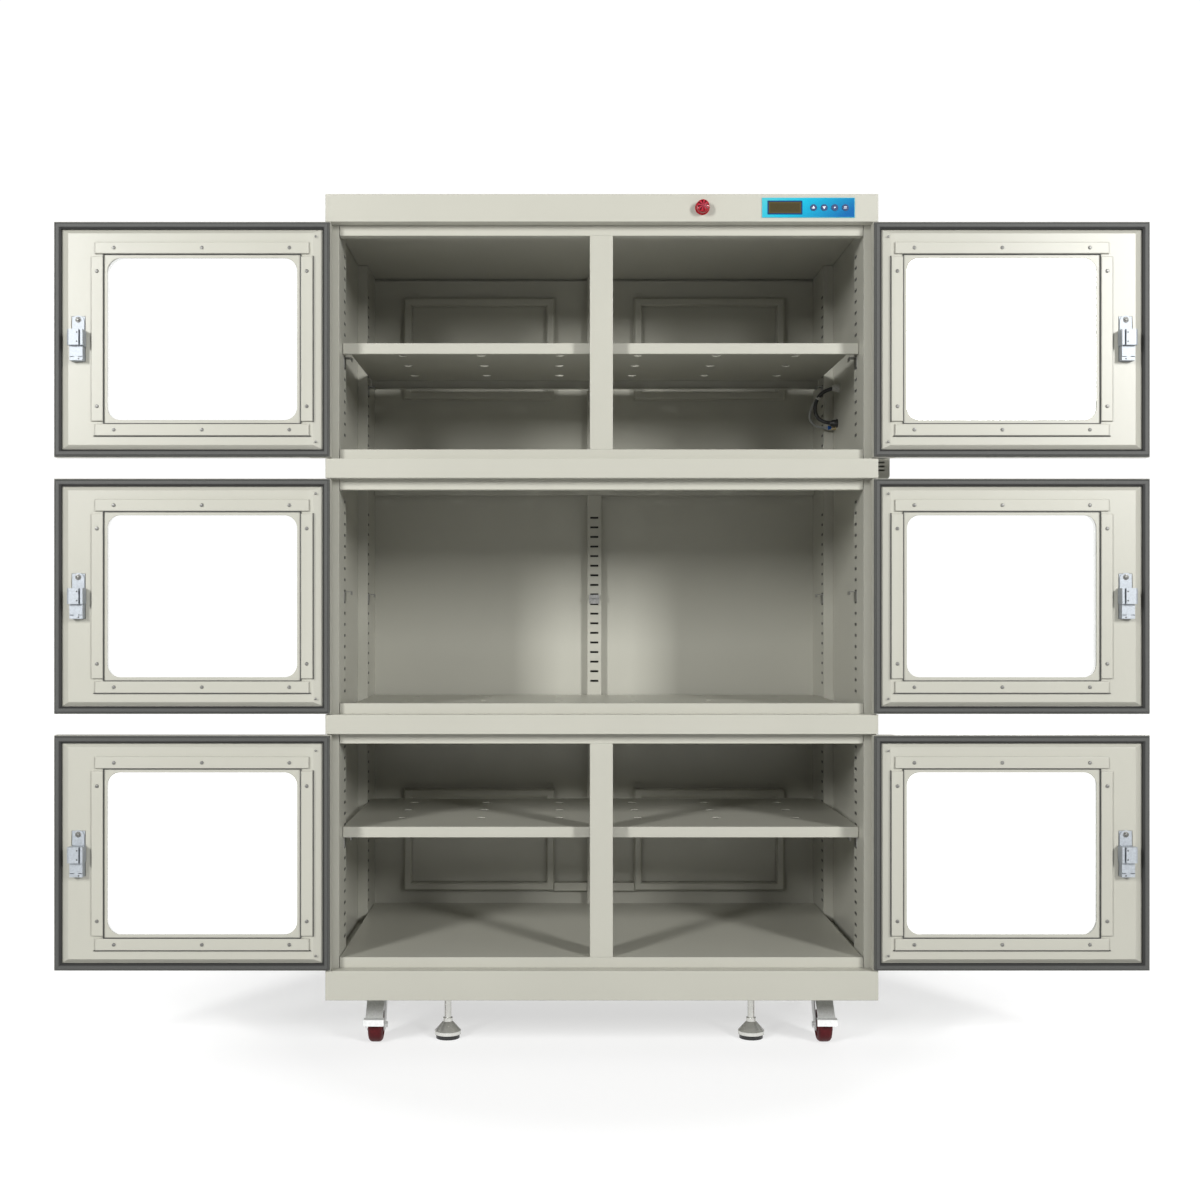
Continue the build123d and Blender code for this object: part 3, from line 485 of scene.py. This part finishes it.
pane, pane_tree, pane_shader = new_material("window_glass")
pane_tree.links.new(spread(pane_tree, noise_over(pane_tree, 6.0), 0.0, 0.03),
                    pane_shader.inputs["Roughness"])
pane_shader.inputs["Base Color"].default_value = (0.96, 0.99, 0.97, 1)
pane_shader.inputs["Transmission Weight"].default_value = 1.0
pane_shader.inputs["IOR"].default_value = 1.45
pane_shader.inputs["Alpha"].default_value = 0.3
bead_and_shadow_black = rubber("bead_and_shadow_black", (0.030, 0.030, 0.028), 0.6, 700.0)
strip_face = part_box("door_upper_left_panel")[0].y
liner_face = strip_face + 0.005
bead_half, bead_proud, crown_proud, crown_share = 0.0010, 0.0030, 0.0038, 0.7
strip_up, strip_across = 0.1830, 0.2130
lowest_strip_shadow, hinge_strip_shadow = -0.2099, 0.2399
for door in door_names:
    finish_node(f"{door}_glass", pane)
    window_x, _, window_z = middle_of(f"{door}_glass")
    toward_hinge = 1 if window_x < 0 else -1
    bead = bmesh.new()
    # middle, half length and whether the run is level: the bead inside each clamping strip,
    # then two runs of painted shadow, under the lowest strip and beside the one by the hinges
    for side, up, half, level in (
            (0, strip_up, 0.2135, True), (0, -strip_up, 0.2135, True),
            (strip_across, 0, 0.1820, False), (-strip_across, 0, 0.1820, False),
            (0, lowest_strip_shadow, 0.2345, True), (toward_hinge * hinge_strip_shadow, 0, 0.1795, False)):
        wide, high = (half, bead_half) if level else (bead_half, half)
        edge = [(-wide, -high), (wide, -high), (wide, high), (-wide, high)]
        share_x, share_z = (1.0, crown_share) if level else (crown_share, 1.0)
        crown = [(x * share_x, z * share_z) for x, z in edge]
        rows = []
        for outline, proud in ((edge, 0.0), (edge, bead_proud), (crown, crown_proud)):
            rows.append([bead.verts.new((window_x + side + x, liner_face - proud,
                                         window_z + up + z)) for x, z in outline])
        skin_rings(bead, rows)
    finish_piece(f"{door}_glazing_bead_and_shadow", bead, bead_and_shadow_black, door)

# ---------------------------------------------------------------------- strip screws
# Pan-head cross-recess screws, zinc plated, that hold the four strips of each window:
# three along the top and bottom strips and two down each side, and a small blind rivet
# in each hinge-side corner of the dished liner.


def facing_ring(shell, place, reaches, rises):
    """Points round an axis that faces forward, with one reach and one rise for each."""
    ring = []
    for step, (reach, rise) in enumerate(zip(reaches, rises)):
        turn = 2 * math.pi * step / len(reaches)
        ring.append(shell.verts.new((place[0] + reach * math.cos(turn), place[1] - rise,
                                     place[2] + reach * math.sin(turn))))
    return ring


def add_screw(shell, place, radius, proud):
    """One pan head that faces forward, with its cross recess; place is its seat."""
    sides = 16
    cross = [0.58 if step % 4 == 0 else 0.17 for step in range(sides)]
    head = [([reach] * sides, rise) for reach, rise in
            ((1.0, 0.0), (1.0, 0.35), (0.93, 0.66), (0.8, 0.88), (0.66, 1.0))]
    recess = [(cross, 1.0), ([reach * 0.9 for reach in cross], 0.35)]
    skin_rings(shell, [facing_ring(shell, place, [radius * reach for reach in reaches],
                                   [proud * rise] * sides) for reaches, rise in head + recess])


def plated(name, colour, roughness, grain=180.0, uneven=0.1, metallic=1.0):
    """Bright zinc or turned steel with faint rolling marks and cloudy patches."""
    material, tree, shader = new_material(name)
    noise = noise_over(tree, grain, detail=4.0)
    tree.links.new(cloudy_colour(tree, noise, colour, 1 - uneven, 1.0),
                   shader.inputs["Base Color"])
    tree.links.new(spread(tree, noise, roughness * 0.8, roughness * 1.3),
                   shader.inputs["Roughness"])
    shader.inputs["Metallic"].default_value = metallic
    return material


screw_zinc = plated("screw_zinc", (0.19, 0.19, 0.18), 0.38, grain=700.0)
level_strip, level_screws = 0.1965, (-0.190, 0.0, 0.189)
upright_strip, upright_screws = 0.2265, (-0.146, 0.146)
rivet_across, rivet_up = 0.245, 0.222
screw_size = {"radius": 0.0040, "proud": 0.0022}
rivet_size = {"radius": 0.0026, "proud": 0.0012}
for door in door_names:
    window_x, _, window_z = middle_of(f"{door}_glass")
    toward_hinge = 1 if window_x < 0 else -1
    screws = bmesh.new()
    for up in (-level_strip, level_strip):
        for along in level_screws:
            add_screw(screws, (window_x + along, strip_face, window_z + up), **screw_size)
    for out in (-upright_strip, upright_strip):
        for up in upright_screws:
            add_screw(screws, (window_x + out, strip_face, window_z + up), **screw_size)
    for up in (-rivet_up, rivet_up):
        add_screw(screws, (window_x + toward_hinge * rivet_across, liner_face, window_z + up),
                  **rivet_size)
    finish_piece(f"{door}_screws", screws, screw_zinc, door)

# ---------------------------------------------------------------------- latches
# Zinc-plated pressed steel: a case through the door with a fixing tab and a lower block,
# and a tongue that turns on an upright pin with the pull plate outside.
latch_zinc = plated("latch_zinc", (0.37, 0.40, 0.43), 0.46, grain=260.0, uneven=0.25,
                    metallic=0.35)

# Three small spots are painted dark on the plate, as painted shade at the rivet heads and
# the pin hole: two at the hinge side of the tongue and one on the lower block.
rivet_shade_spots = ((1.1268, 0.0098), (1.1268, -0.0098), (1.1262, -0.0455))
shade_spot_radius = 0.0018
latch_tree = latch_zinc.node_tree
latch_out, latch_up = on_every_door(latch_tree, 0.0, middle_of("door_lower_left_latch_lever")[2])
rivet_shade_mask = None
for out, up in rivet_shade_spots:
    side_step = sum_node(latch_tree, "POWER",
                         sum_node(latch_tree, "SUBTRACT", latch_out, out), 2.0)
    up_step = sum_node(latch_tree, "POWER", sum_node(latch_tree, "SUBTRACT", latch_up, up), 2.0)
    apart = sum_node(latch_tree, "SQRT", sum_node(latch_tree, "ADD", side_step, up_step))
    near = sum_node(latch_tree, "LESS_THAN", apart, shade_spot_radius)
    rivet_shade_mask = near if rivet_shade_mask is None else sum_node(latch_tree, "MAXIMUM", rivet_shade_mask, near)
# Near black: painted shade at the rivets and the pin hole.
mark_finish(latch_zinc, rivet_shade_mask, (0.05, 0.05, 0.05, 1))

# The case's upper tab is held by one screw on a dished washer.
tab_rise, tab_thick = 0.0413, 0.003
washer_sides = 24
washer_section = ((0.0064, 0.0), (0.0064, 0.0007), (0.0058, 0.0011), (0.0046, 0.0011),
                  (0.0042, 0.0006))
for door in door_names:
    finish_node(f"{door}_latch_case", latch_zinc, bevel=0.0006)
    finish_node(f"{door}_latch_lever", latch_zinc, bevel=0.0008)
    tab_place = (middle_of(f"{door}_latch_case")[0], liner_face - tab_thick,
                 middle_of(f"{door}_latch_lever")[2] + tab_rise)
    tab_screw = bmesh.new()
    skin_rings(tab_screw, [facing_ring(tab_screw, tab_place, [reach] * washer_sides,
                                       [rise] * washer_sides) for reach, rise in washer_section],
               closed=False)
    add_screw(tab_screw, tab_place, radius=0.0038, proud=0.0024)
    finish_piece(f"{door}_latch_screw", tab_screw, screw_zinc, door)

# ---------------------------------------------------------------------- shelf clips
# Bent plated steel hooks that hang in the slots of the corner posts and the rear column.
# The shelves sit on them.
clip_steel = plated("clip_steel", (0.34, 0.34, 0.33), 0.34, grain=300.0, uneven=0.3)
finish_node("shelf_clips", clip_steel, bevel=0.0003)

# ---------------------------------------------------------------------- castors
# Zinc-plated swivel forks with a brake flap on the front pair, and dark red
# polyurethane wheels, moulded with a raised hub and a rounded tread.
tread_red = rubber("tread_red", (0.070, 0.004, 0.006), 0.55, 220.0)
tread_red.node_tree.nodes["Principled BSDF"].inputs["Specular IOR Level"].default_value = 0.25
castor_zinc = plated("castor_zinc", (0.78, 0.79, 0.78), 0.40, grain=240.0, uneven=0.15,
                     metallic=0.55)
finish_node("castor_plates", castor_zinc, bevel=0.0006)


def round_ring(shell, place, aside, across_it, radius, sides):
    """A ring of points round a place, in the plane of two directions."""
    ring = []
    for step in range(sides):
        turn = 2 * math.pi * step / sides
        spoke = aside * math.cos(turn) + across_it * math.sin(turn)
        ring.append(shell.verts.new(place + spoke * radius))
    return ring


def square_to(ahead, aside):
    """The direction nearest to aside that is square to ahead."""
    return (aside - ahead * aside.dot(ahead)).normalized()


def turned_piece(name, start, toward, profile, material, body, sides=24, smooth=35):
    """A turned piece: where its axis starts and points, and (distance, radius) along it."""
    ahead = Vector(toward).normalized()
    aside = square_to(ahead, Vector((0, 0, 1)))
    shell = bmesh.new()
    skin_rings(shell, [round_ring(shell, Vector(start) + ahead * along, aside,
                                  ahead.cross(aside), radius, sides)
                       for along, radius in profile])
    return finish_piece(name, shell, material, body, smooth)


tread_round, rim_step, tread_gap = 0.0092, 0.0004, 0.0001
tread_turns = (88, 66, 44, 22, 0)
for corner in ("front_left", "front_right", "rear_left", "rear_right"):
    finish_node(f"castor_{corner}_fork", castor_zinc, bevel=0.0006)
    wheel_low, wheel_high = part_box(f"castor_{corner}_wheel")
    wheel_wide = wheel_high.x - wheel_low.x
    wheel_up = (wheel_high.z - wheel_low.z) / 2
    # half of the section: hub face, hub edge, web, rim and the rounded tread corner
    half_section = [(0.0, 0.0105), (0.0, 0.0150), (0.0030, 0.0165), (0.0036, 0.0240),
                    (0.0012, 0.0262), (0.0004, 0.0272)]
    for degrees in tread_turns:
        turn = math.radians(degrees)
        half_section.append((tread_round * (1 - math.sin(turn)) + rim_step,
                             wheel_up - tread_round * (1 - math.cos(turn)) - tread_gap))
    section = half_section + [(wheel_wide - along, radius)
                              for along, radius in reversed(half_section)]
    wheel = turned_piece(f"castor_{corner}_tread",
                         (wheel_low.x, middle_of(f"castor_{corner}_wheel")[1],
                          wheel_low.z + wheel_up),
                         (1, 0, 0), section, tread_red, f"castor_{corner}_roller",
                         sides=48, smooth=50)
    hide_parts(f"castor_{corner}_wheel")

# ---------------------------------------------------------------------- levelling feet
# A turned stainless spindle and cone on a black rubber pad, screwed up into the beam
# behind the plinth.
foot_steel = plated("foot_steel", (0.74, 0.74, 0.70), 0.24)
foot_tree = foot_steel.node_tree
pad_thick = 0.0095
pad_mask = sum_node(foot_tree, "LESS_THAN", place_parts(foot_tree)["Z"], pad_thick)
mark_finish(foot_steel, pad_mask, (0.02, 0.02, 0.02, 1))
foot_metal = sum_node(foot_tree, "MAXIMUM", sum_node(foot_tree, "SUBTRACT", 0.8, pad_mask), 0.0)
foot_tree.links.new(foot_metal, foot_tree.nodes["Principled BSDF"].inputs["Metallic"])
for side in ("left", "right"):
    finish_node(f"foot_{side}", foot_steel, bevel=0.0010)

# ---------------------------------------------------------------------- control panel
# A moulded bezel under a printed film that runs from cyan to deep blue, with a brown
# display window and four round keys.
panel_low, panel_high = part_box("control_panel")
film, film_tree, film_shader = new_material("panel_film")
film_parts = place_parts(film_tree)


def film_window(middle_x, middle_z, half_wide, half_high):
    """A mask of one where the film lies inside a rectangle."""
    return all_of(film_tree, within(film_tree, film_parts["X"], middle_x, half_wide),
                  within(film_tree, film_parts["Z"], middle_z, half_high))


panel_x, panel_z = (panel_low.x + panel_high.x) / 2, (panel_low.z + panel_high.z) / 2
panel_half_wide = (panel_high.x - panel_low.x) / 2
panel_half_high = (panel_high.z - panel_low.z) / 2
run_share, fall_share = 0.86, 0.26
run = sum_node(film_tree, "MULTIPLY",
               sum_node(film_tree, "SUBTRACT", film_parts["X"], panel_low.x),
               run_share / (2 * panel_half_wide))
fall = sum_node(film_tree, "MULTIPLY",
                sum_node(film_tree, "SUBTRACT", panel_high.z, film_parts["Z"]),
                fall_share / (2 * panel_half_high))
film_ramp = film_tree.nodes.new("ShaderNodeValToRGB")
film_ramp.color_ramp.elements[0].color = (0.060, 0.400, 0.455, 1)
film_ramp.color_ramp.elements[1].color = (0.002, 0.095, 0.290, 1)
middle_blue = film_ramp.color_ramp.elements.new(0.42)
middle_blue.color = (0.006, 0.350, 0.500, 1)
film_tree.links.new(sum_node(film_tree, "ADD", run, fall), film_ramp.inputs["Fac"])
display_x = panel_x - 0.051
film_rim = 0.0009
inner_film = film_window(panel_x, panel_z, panel_half_wide - film_rim, panel_half_high - film_rim)
printed = mix_colour(film_tree, inner_film, (0.060, 0.400, 0.500, 1), film_ramp.outputs["Color"])
# the display's dark blue border, its brown window, and the glass inside that window
for drop, half_wide, half_high, colour in ((0, 0.0378, 0.0150, (0.006, 0.035, 0.115, 1)),
                                           (0, 0.0352, 0.0124, (0.062, 0.050, 0.018, 1)),
                                           (0.0002, 0.0318, 0.0094, (0.046, 0.037, 0.014, 1))):
    printed = mix_colour(film_tree, film_window(display_x, panel_z - drop, half_wide, half_high),
                         printed, colour)
film_tree.links.new(printed, film_shader.inputs["Base Color"])
film_tree.links.new(spread(film_tree, noise_over(film_tree, 1800.0), 0.22, 0.34),
                    film_shader.inputs["Roughness"])
film_shader.inputs["Specular IOR Level"].default_value = 0.2
finish_node("control_panel", film, bevel=0.0004)

# ---------------------------------------------------------------------- keys
# Four round moulded keys in the panel, dark blue with a white printed sign on each: up,
# down, set and silence.
key_blue = rubber("key_blue", (0.006, 0.030, 0.110), 0.35, 800.0)
sign_white = rubber("sign_white", (0.72, 0.76, 0.80), 0.45, 900.0)
sign_proud, sign_sunk = 0.00012, 0.0001
sign_lines = {
    "up": [[(-0.0036, -0.0022), (0.0036, -0.0022), (0.0, 0.0034)]],
    "down": [[(-0.0036, 0.0022), (0.0, -0.0034), (0.0036, 0.0022)]],
    "set": [[(0.0017 * math.cos(math.pi * k / 6), 0.0017 * math.sin(math.pi * k / 6))
             for k in range(12)]],
    "mute": [[(-0.0032, 0.0008), (0.0032, 0.0008), (0.0032, 0.0020), (-0.0032, 0.0020)],
             [(-0.0032, -0.0020), (0.0032, -0.0020), (0.0032, -0.0008), (-0.0032, -0.0008)]],
}
for name, outlines in sign_lines.items():
    finish_node(f"key_{name}", key_blue, bevel=0.0004)
    key_x, _, key_z = middle_of(f"key_{name}")
    key_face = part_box(f"key_{name}")[0].y
    sign = bmesh.new()
    for outline in outlines:
        front, back = ([sign.verts.new((key_x + x, depth, key_z + z)) for x, z in outline]
                       for depth in (key_face - sign_proud, key_face + sign_sunk))
        sign.faces.new(front)
        sign.faces.new(list(reversed(back)))
        for step in range(len(outline)):
            after = (step + 1) % len(outline)
            sign.faces.new((front[step], back[step], back[after], front[after]))
    finish_piece(f"key_{name}_sign", sign, sign_white, f"key_{name}")

# ---------------------------------------------------------------------- alarm lamp
# A red moulded lens on a red flange, pressed into the fascia: a plain collar and a
# domed front cut into a star of facets.  Its red is painted lighter towards the middle,
# as painted light, and the star's flutes are painted near black, as painted shade.
lamp_low, lamp_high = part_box("alarm_lamp")
lamp_x, _, lamp_z = middle_of("alarm_lamp")
lens, lens_tree, lens_shader = new_material("lamp_red")
lens_parts = place_parts(lens_tree)
lens_reach = lens_tree.nodes.new("ShaderNodeVectorMath")
lens_reach.operation = "DISTANCE"
lens_reach.inputs[1].default_value = (lamp_x, lamp_low.y, lamp_z)
lens_tree.links.new(surface_place(lens_tree), lens_reach.inputs[0])
# Painted light: the red is lighter towards the middle of the lens.
lens_light_ramp = lens_tree.nodes.new("ShaderNodeValToRGB")
lens_light_ramp.color_ramp.elements[0].color = (0.42, 0.050, 0.080, 1)
lens_light_ramp.color_ramp.elements[1].color = (0.32, 0.003, 0.012, 1)
lens_tree.links.new(spread(lens_tree, lens_reach.outputs["Value"], 0.0, 1.0,
                           low=0.002, high=0.013), lens_light_ramp.inputs["Fac"])
ray_count, ray_edge, star_reach = 8.0, 0.25, 0.0125
lens_turn = sum_node(lens_tree, "ARCTAN2",
                     sum_node(lens_tree, "SUBTRACT", lens_parts["Z"], lamp_z),
                     sum_node(lens_tree, "SUBTRACT", lens_parts["X"], lamp_x))
lens_ray = sum_node(lens_tree, "SINE", sum_node(lens_tree, "MULTIPLY", lens_turn, ray_count))
# Painted shade: the flutes of the star, near black.
flute_shade_mask = all_of(lens_tree, sum_node(lens_tree, "GREATER_THAN", lens_ray, ray_edge),
                    sum_node(lens_tree, "LESS_THAN", lens_reach.outputs["Value"], star_reach))
lens_tree.links.new(mix_colour(lens_tree, flute_shade_mask, lens_light_ramp.outputs["Color"],
                               (0.055, 0.001, 0.003, 1)), lens_shader.inputs["Base Color"])
lens_shader.inputs["Roughness"].default_value = 0.18
lens_shader.inputs["Specular IOR Level"].default_value = 0.2
lamp = bmesh.new()
lamp_sides, lens_tip = 32, 0.0236
lamp_seat = (lamp_x, lamp_high.y, lamp_z)
lamp_rings = []
# reach, height above the fascia, and how much every second corner of the star stands back
for reach, height, star in ((0.0158, 0.0, 0), (0.0158, 0.0022, 0), (0.0152, 0.0030, 0),
                            (0.0142, 0.0030, 0), (0.0139, 0.0180, 0), (0.0130, 0.0205, 0),
                            (0.0112, 0.0218, 0.0008), (0.0072, 0.0229, 0.0014),
                            (0.0034, 0.0233, 0.0006)):
    rises = [height - star if step % 4 in (1, 2) else height for step in range(lamp_sides)]
    lamp_rings.append(facing_ring(lamp, lamp_seat, [reach] * lamp_sides, rises))
skin_rings(lamp, lamp_rings, closed=False)
lamp_tip = lamp.verts.new((lamp_x, lamp_high.y - lens_tip, lamp_z))
for step in range(lamp_sides):
    lamp.faces.new((lamp_rings[-1][step], lamp_rings[-1][(step + 1) % lamp_sides], lamp_tip))
lamp.faces.new(list(reversed(lamp_rings[0])))
lamp_piece = finish_piece("alarm_lamp_lens", lamp, lens, "cabinet", smooth=14)
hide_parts("alarm_lamp")

# ---------------------------------------------------------------------- sensor conduit
# A short black corrugated hose with the sensor's wires, from the upper gland in the side
# wall down to the lower one, and beside it a clear grey air tube in a blue push-in
# fitting.  A white cable tie holds the two together.
conduit_route = [(0.5988, 0.125, 1.527), (0.5688, 0.125, 1.527), (0.5388, 0.131, 1.495),
                 (0.5468, 0.145, 1.447), (0.5828, 0.145, 1.443)]
tube_route = [(0.5800, 0.171, 1.435), (0.5560, 0.171, 1.434), (0.5310, 0.163, 1.452),
              (0.5330, 0.145, 1.484), (0.5470, 0.1305, 1.503)]


def smooth_line(name, route):
    """The smooth line through a route: its points, in order."""
    curve = bpy.data.curves.new(name, "CURVE")
    curve.dimensions = "3D"
    curve.resolution_u = 24
    spline = curve.splines.new("NURBS")
    spline.points.add(len(route) - 1)
    for point, place in zip(spline.points, route):
        point.co = (*place, 1.0)
    spline.order_u = 3
    spline.use_endpoint_u = True
    drawn = bpy.data.objects.new(name, curve)
    bare = bpy.data.meshes.new_from_object(drawn)
    places = [vertex.co.copy() for vertex in bare.vertices]
    bpy.data.objects.remove(drawn)
    bpy.data.meshes.remove(bare)
    bpy.data.curves.remove(curve)
    return places


def even_steps(places, count):
    """Points at equal distances along a line, and its whole length."""
    reach = [0.0]
    for before, after in zip(places, places[1:]):
        reach.append(reach[-1] + (after - before).length)
    even = []
    segment = 0
    for step in range(count + 1):
        wanted = reach[-1] * step / count
        while segment < len(places) - 2 and reach[segment + 1] < wanted:
            segment += 1
        part = (wanted - reach[segment]) / max(reach[segment + 1] - reach[segment], 1e-9)
        even.append(places[segment].lerp(places[segment + 1], part))
    return even, reach[-1]


def hose_mesh(places, radii, sides):
    """A tube along places with a radius at each, closed at both ends."""
    shell = bmesh.new()
    aside = Vector((0, 0, 1))
    rings = []
    for index, place in enumerate(places):
        ahead = places[min(index + 1, len(places) - 1)] - places[max(index - 1, 0)]
        ahead.normalize()
        aside = square_to(ahead, aside)
        rings.append(round_ring(shell, place, aside, ahead.cross(aside), radii[index], sides))
    skin_rings(shell, rings)
    return shell


conduit_steps, tube_steps = 192, 60
rib_radius, groove_radius, tube_radius = 0.0050, 0.0042, 0.0030
conduit_black = rubber("conduit_black", (0.018, 0.018, 0.018), 0.42, 900.0)
conduit_places, conduit_length = even_steps(
    smooth_line("conduit_line", conduit_route), conduit_steps)
ribs = [rib_radius if step % 4 in (1, 2) else groove_radius
        for step in range(conduit_steps + 1)]
conduit = finish_piece("sensor_hose", hose_mesh(conduit_places, ribs, 16), conduit_black,
                       "cabinet", smooth=60)
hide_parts("sensor_conduit")

tube_grey = rubber("tube_grey", (0.36, 0.37, 0.36), 0.28, 120.0)
tube_grey.node_tree.nodes["Principled BSDF"].inputs["Transmission Weight"].default_value = 0.35
tube_places, tube_length = even_steps(smooth_line("tube_line", tube_route), tube_steps)
tube_shell = hose_mesh(tube_places, [tube_radius] * (tube_steps + 1), 12)
air_tube = finish_piece("sensor_air_tube", tube_shell, tube_grey, "cabinet", smooth=60)

gland_white = rubber("gland_white", (0.55, 0.55, 0.52), 0.45, 400.0)
fitting_blue = rubber("fitting_blue", (0.010, 0.085, 0.330), 0.3, 400.0)
fitting_brass = plated("fitting_brass", (0.72, 0.60, 0.38), 0.22, grain=300.0)
wall_x = conduit_route[0][0]
turned_piece("upper_gland", conduit_route[0], (-1, 0, 0),
             [(0, 0.0115), (0.003, 0.0115), (0.0035, 0.0095), (0.011, 0.0092), (0.013, 0.0078),
              (0.017, 0.0070)], gland_white, "cabinet", sides=12)
turned_piece("lower_gland", (wall_x, 0.145, 1.443), (-1, 0, 0),
             [(0, 0.0110), (0.003, 0.0110), (0.0035, 0.0090), (0.011, 0.0088), (0.013, 0.0076),
              (0.0172, 0.0066)], conduit_black, "cabinet", sides=12)
turned_piece("tube_fitting", (wall_x, 0.171, 1.435), (-1, 0, 0),
             [(0, 0.0065), (0.0045, 0.0065), (0.0047, 0.0052), (0.0110, 0.0052),
              (0.0115, 0.0046)], fitting_brass, "cabinet", sides=12)
turned_piece("tube_collet", (wall_x - 0.0112, 0.171, 1.435), (-1, 0, 0),
             [(0, 0.0044), (0.0050, 0.0044), (0.0052, 0.0056), (0.0080, 0.0054),
              (0.0084, 0.0030)], fitting_blue, "cabinet", sides=24)
tie_step, tie_half = 80, 0.0018
tie_place = conduit_places[tie_step]
tie_ahead = (conduit_places[tie_step + 2] - conduit_places[tie_step - 2]).normalized()
turned_piece("cable_tie", tie_place - tie_ahead * tie_half, tie_ahead,
             [(0, 0.0052), (0.0002, 0.0060), (0.0034, 0.0060), (0.0036, 0.0052)], gland_white,
             "cabinet")
tie_head = bmesh.new()
bmesh.ops.create_cube(tie_head, size=1.0)
bmesh.ops.bevel(tie_head, geom=tie_head.edges[:], offset=0.18, segments=3, affect="EDGES")
tie_head_size, tie_head_offset = (0.0062, 0.0050, 0.0056), Vector((0.002, -0.0072, 0.0))
bmesh.ops.scale(tie_head, vec=tie_head_size, verts=tie_head.verts)
bmesh.ops.translate(tie_head, vec=tie_place + tie_head_offset, verts=tie_head.verts)
finish_piece("cable_tie_head", tie_head, gland_white, "cabinet")
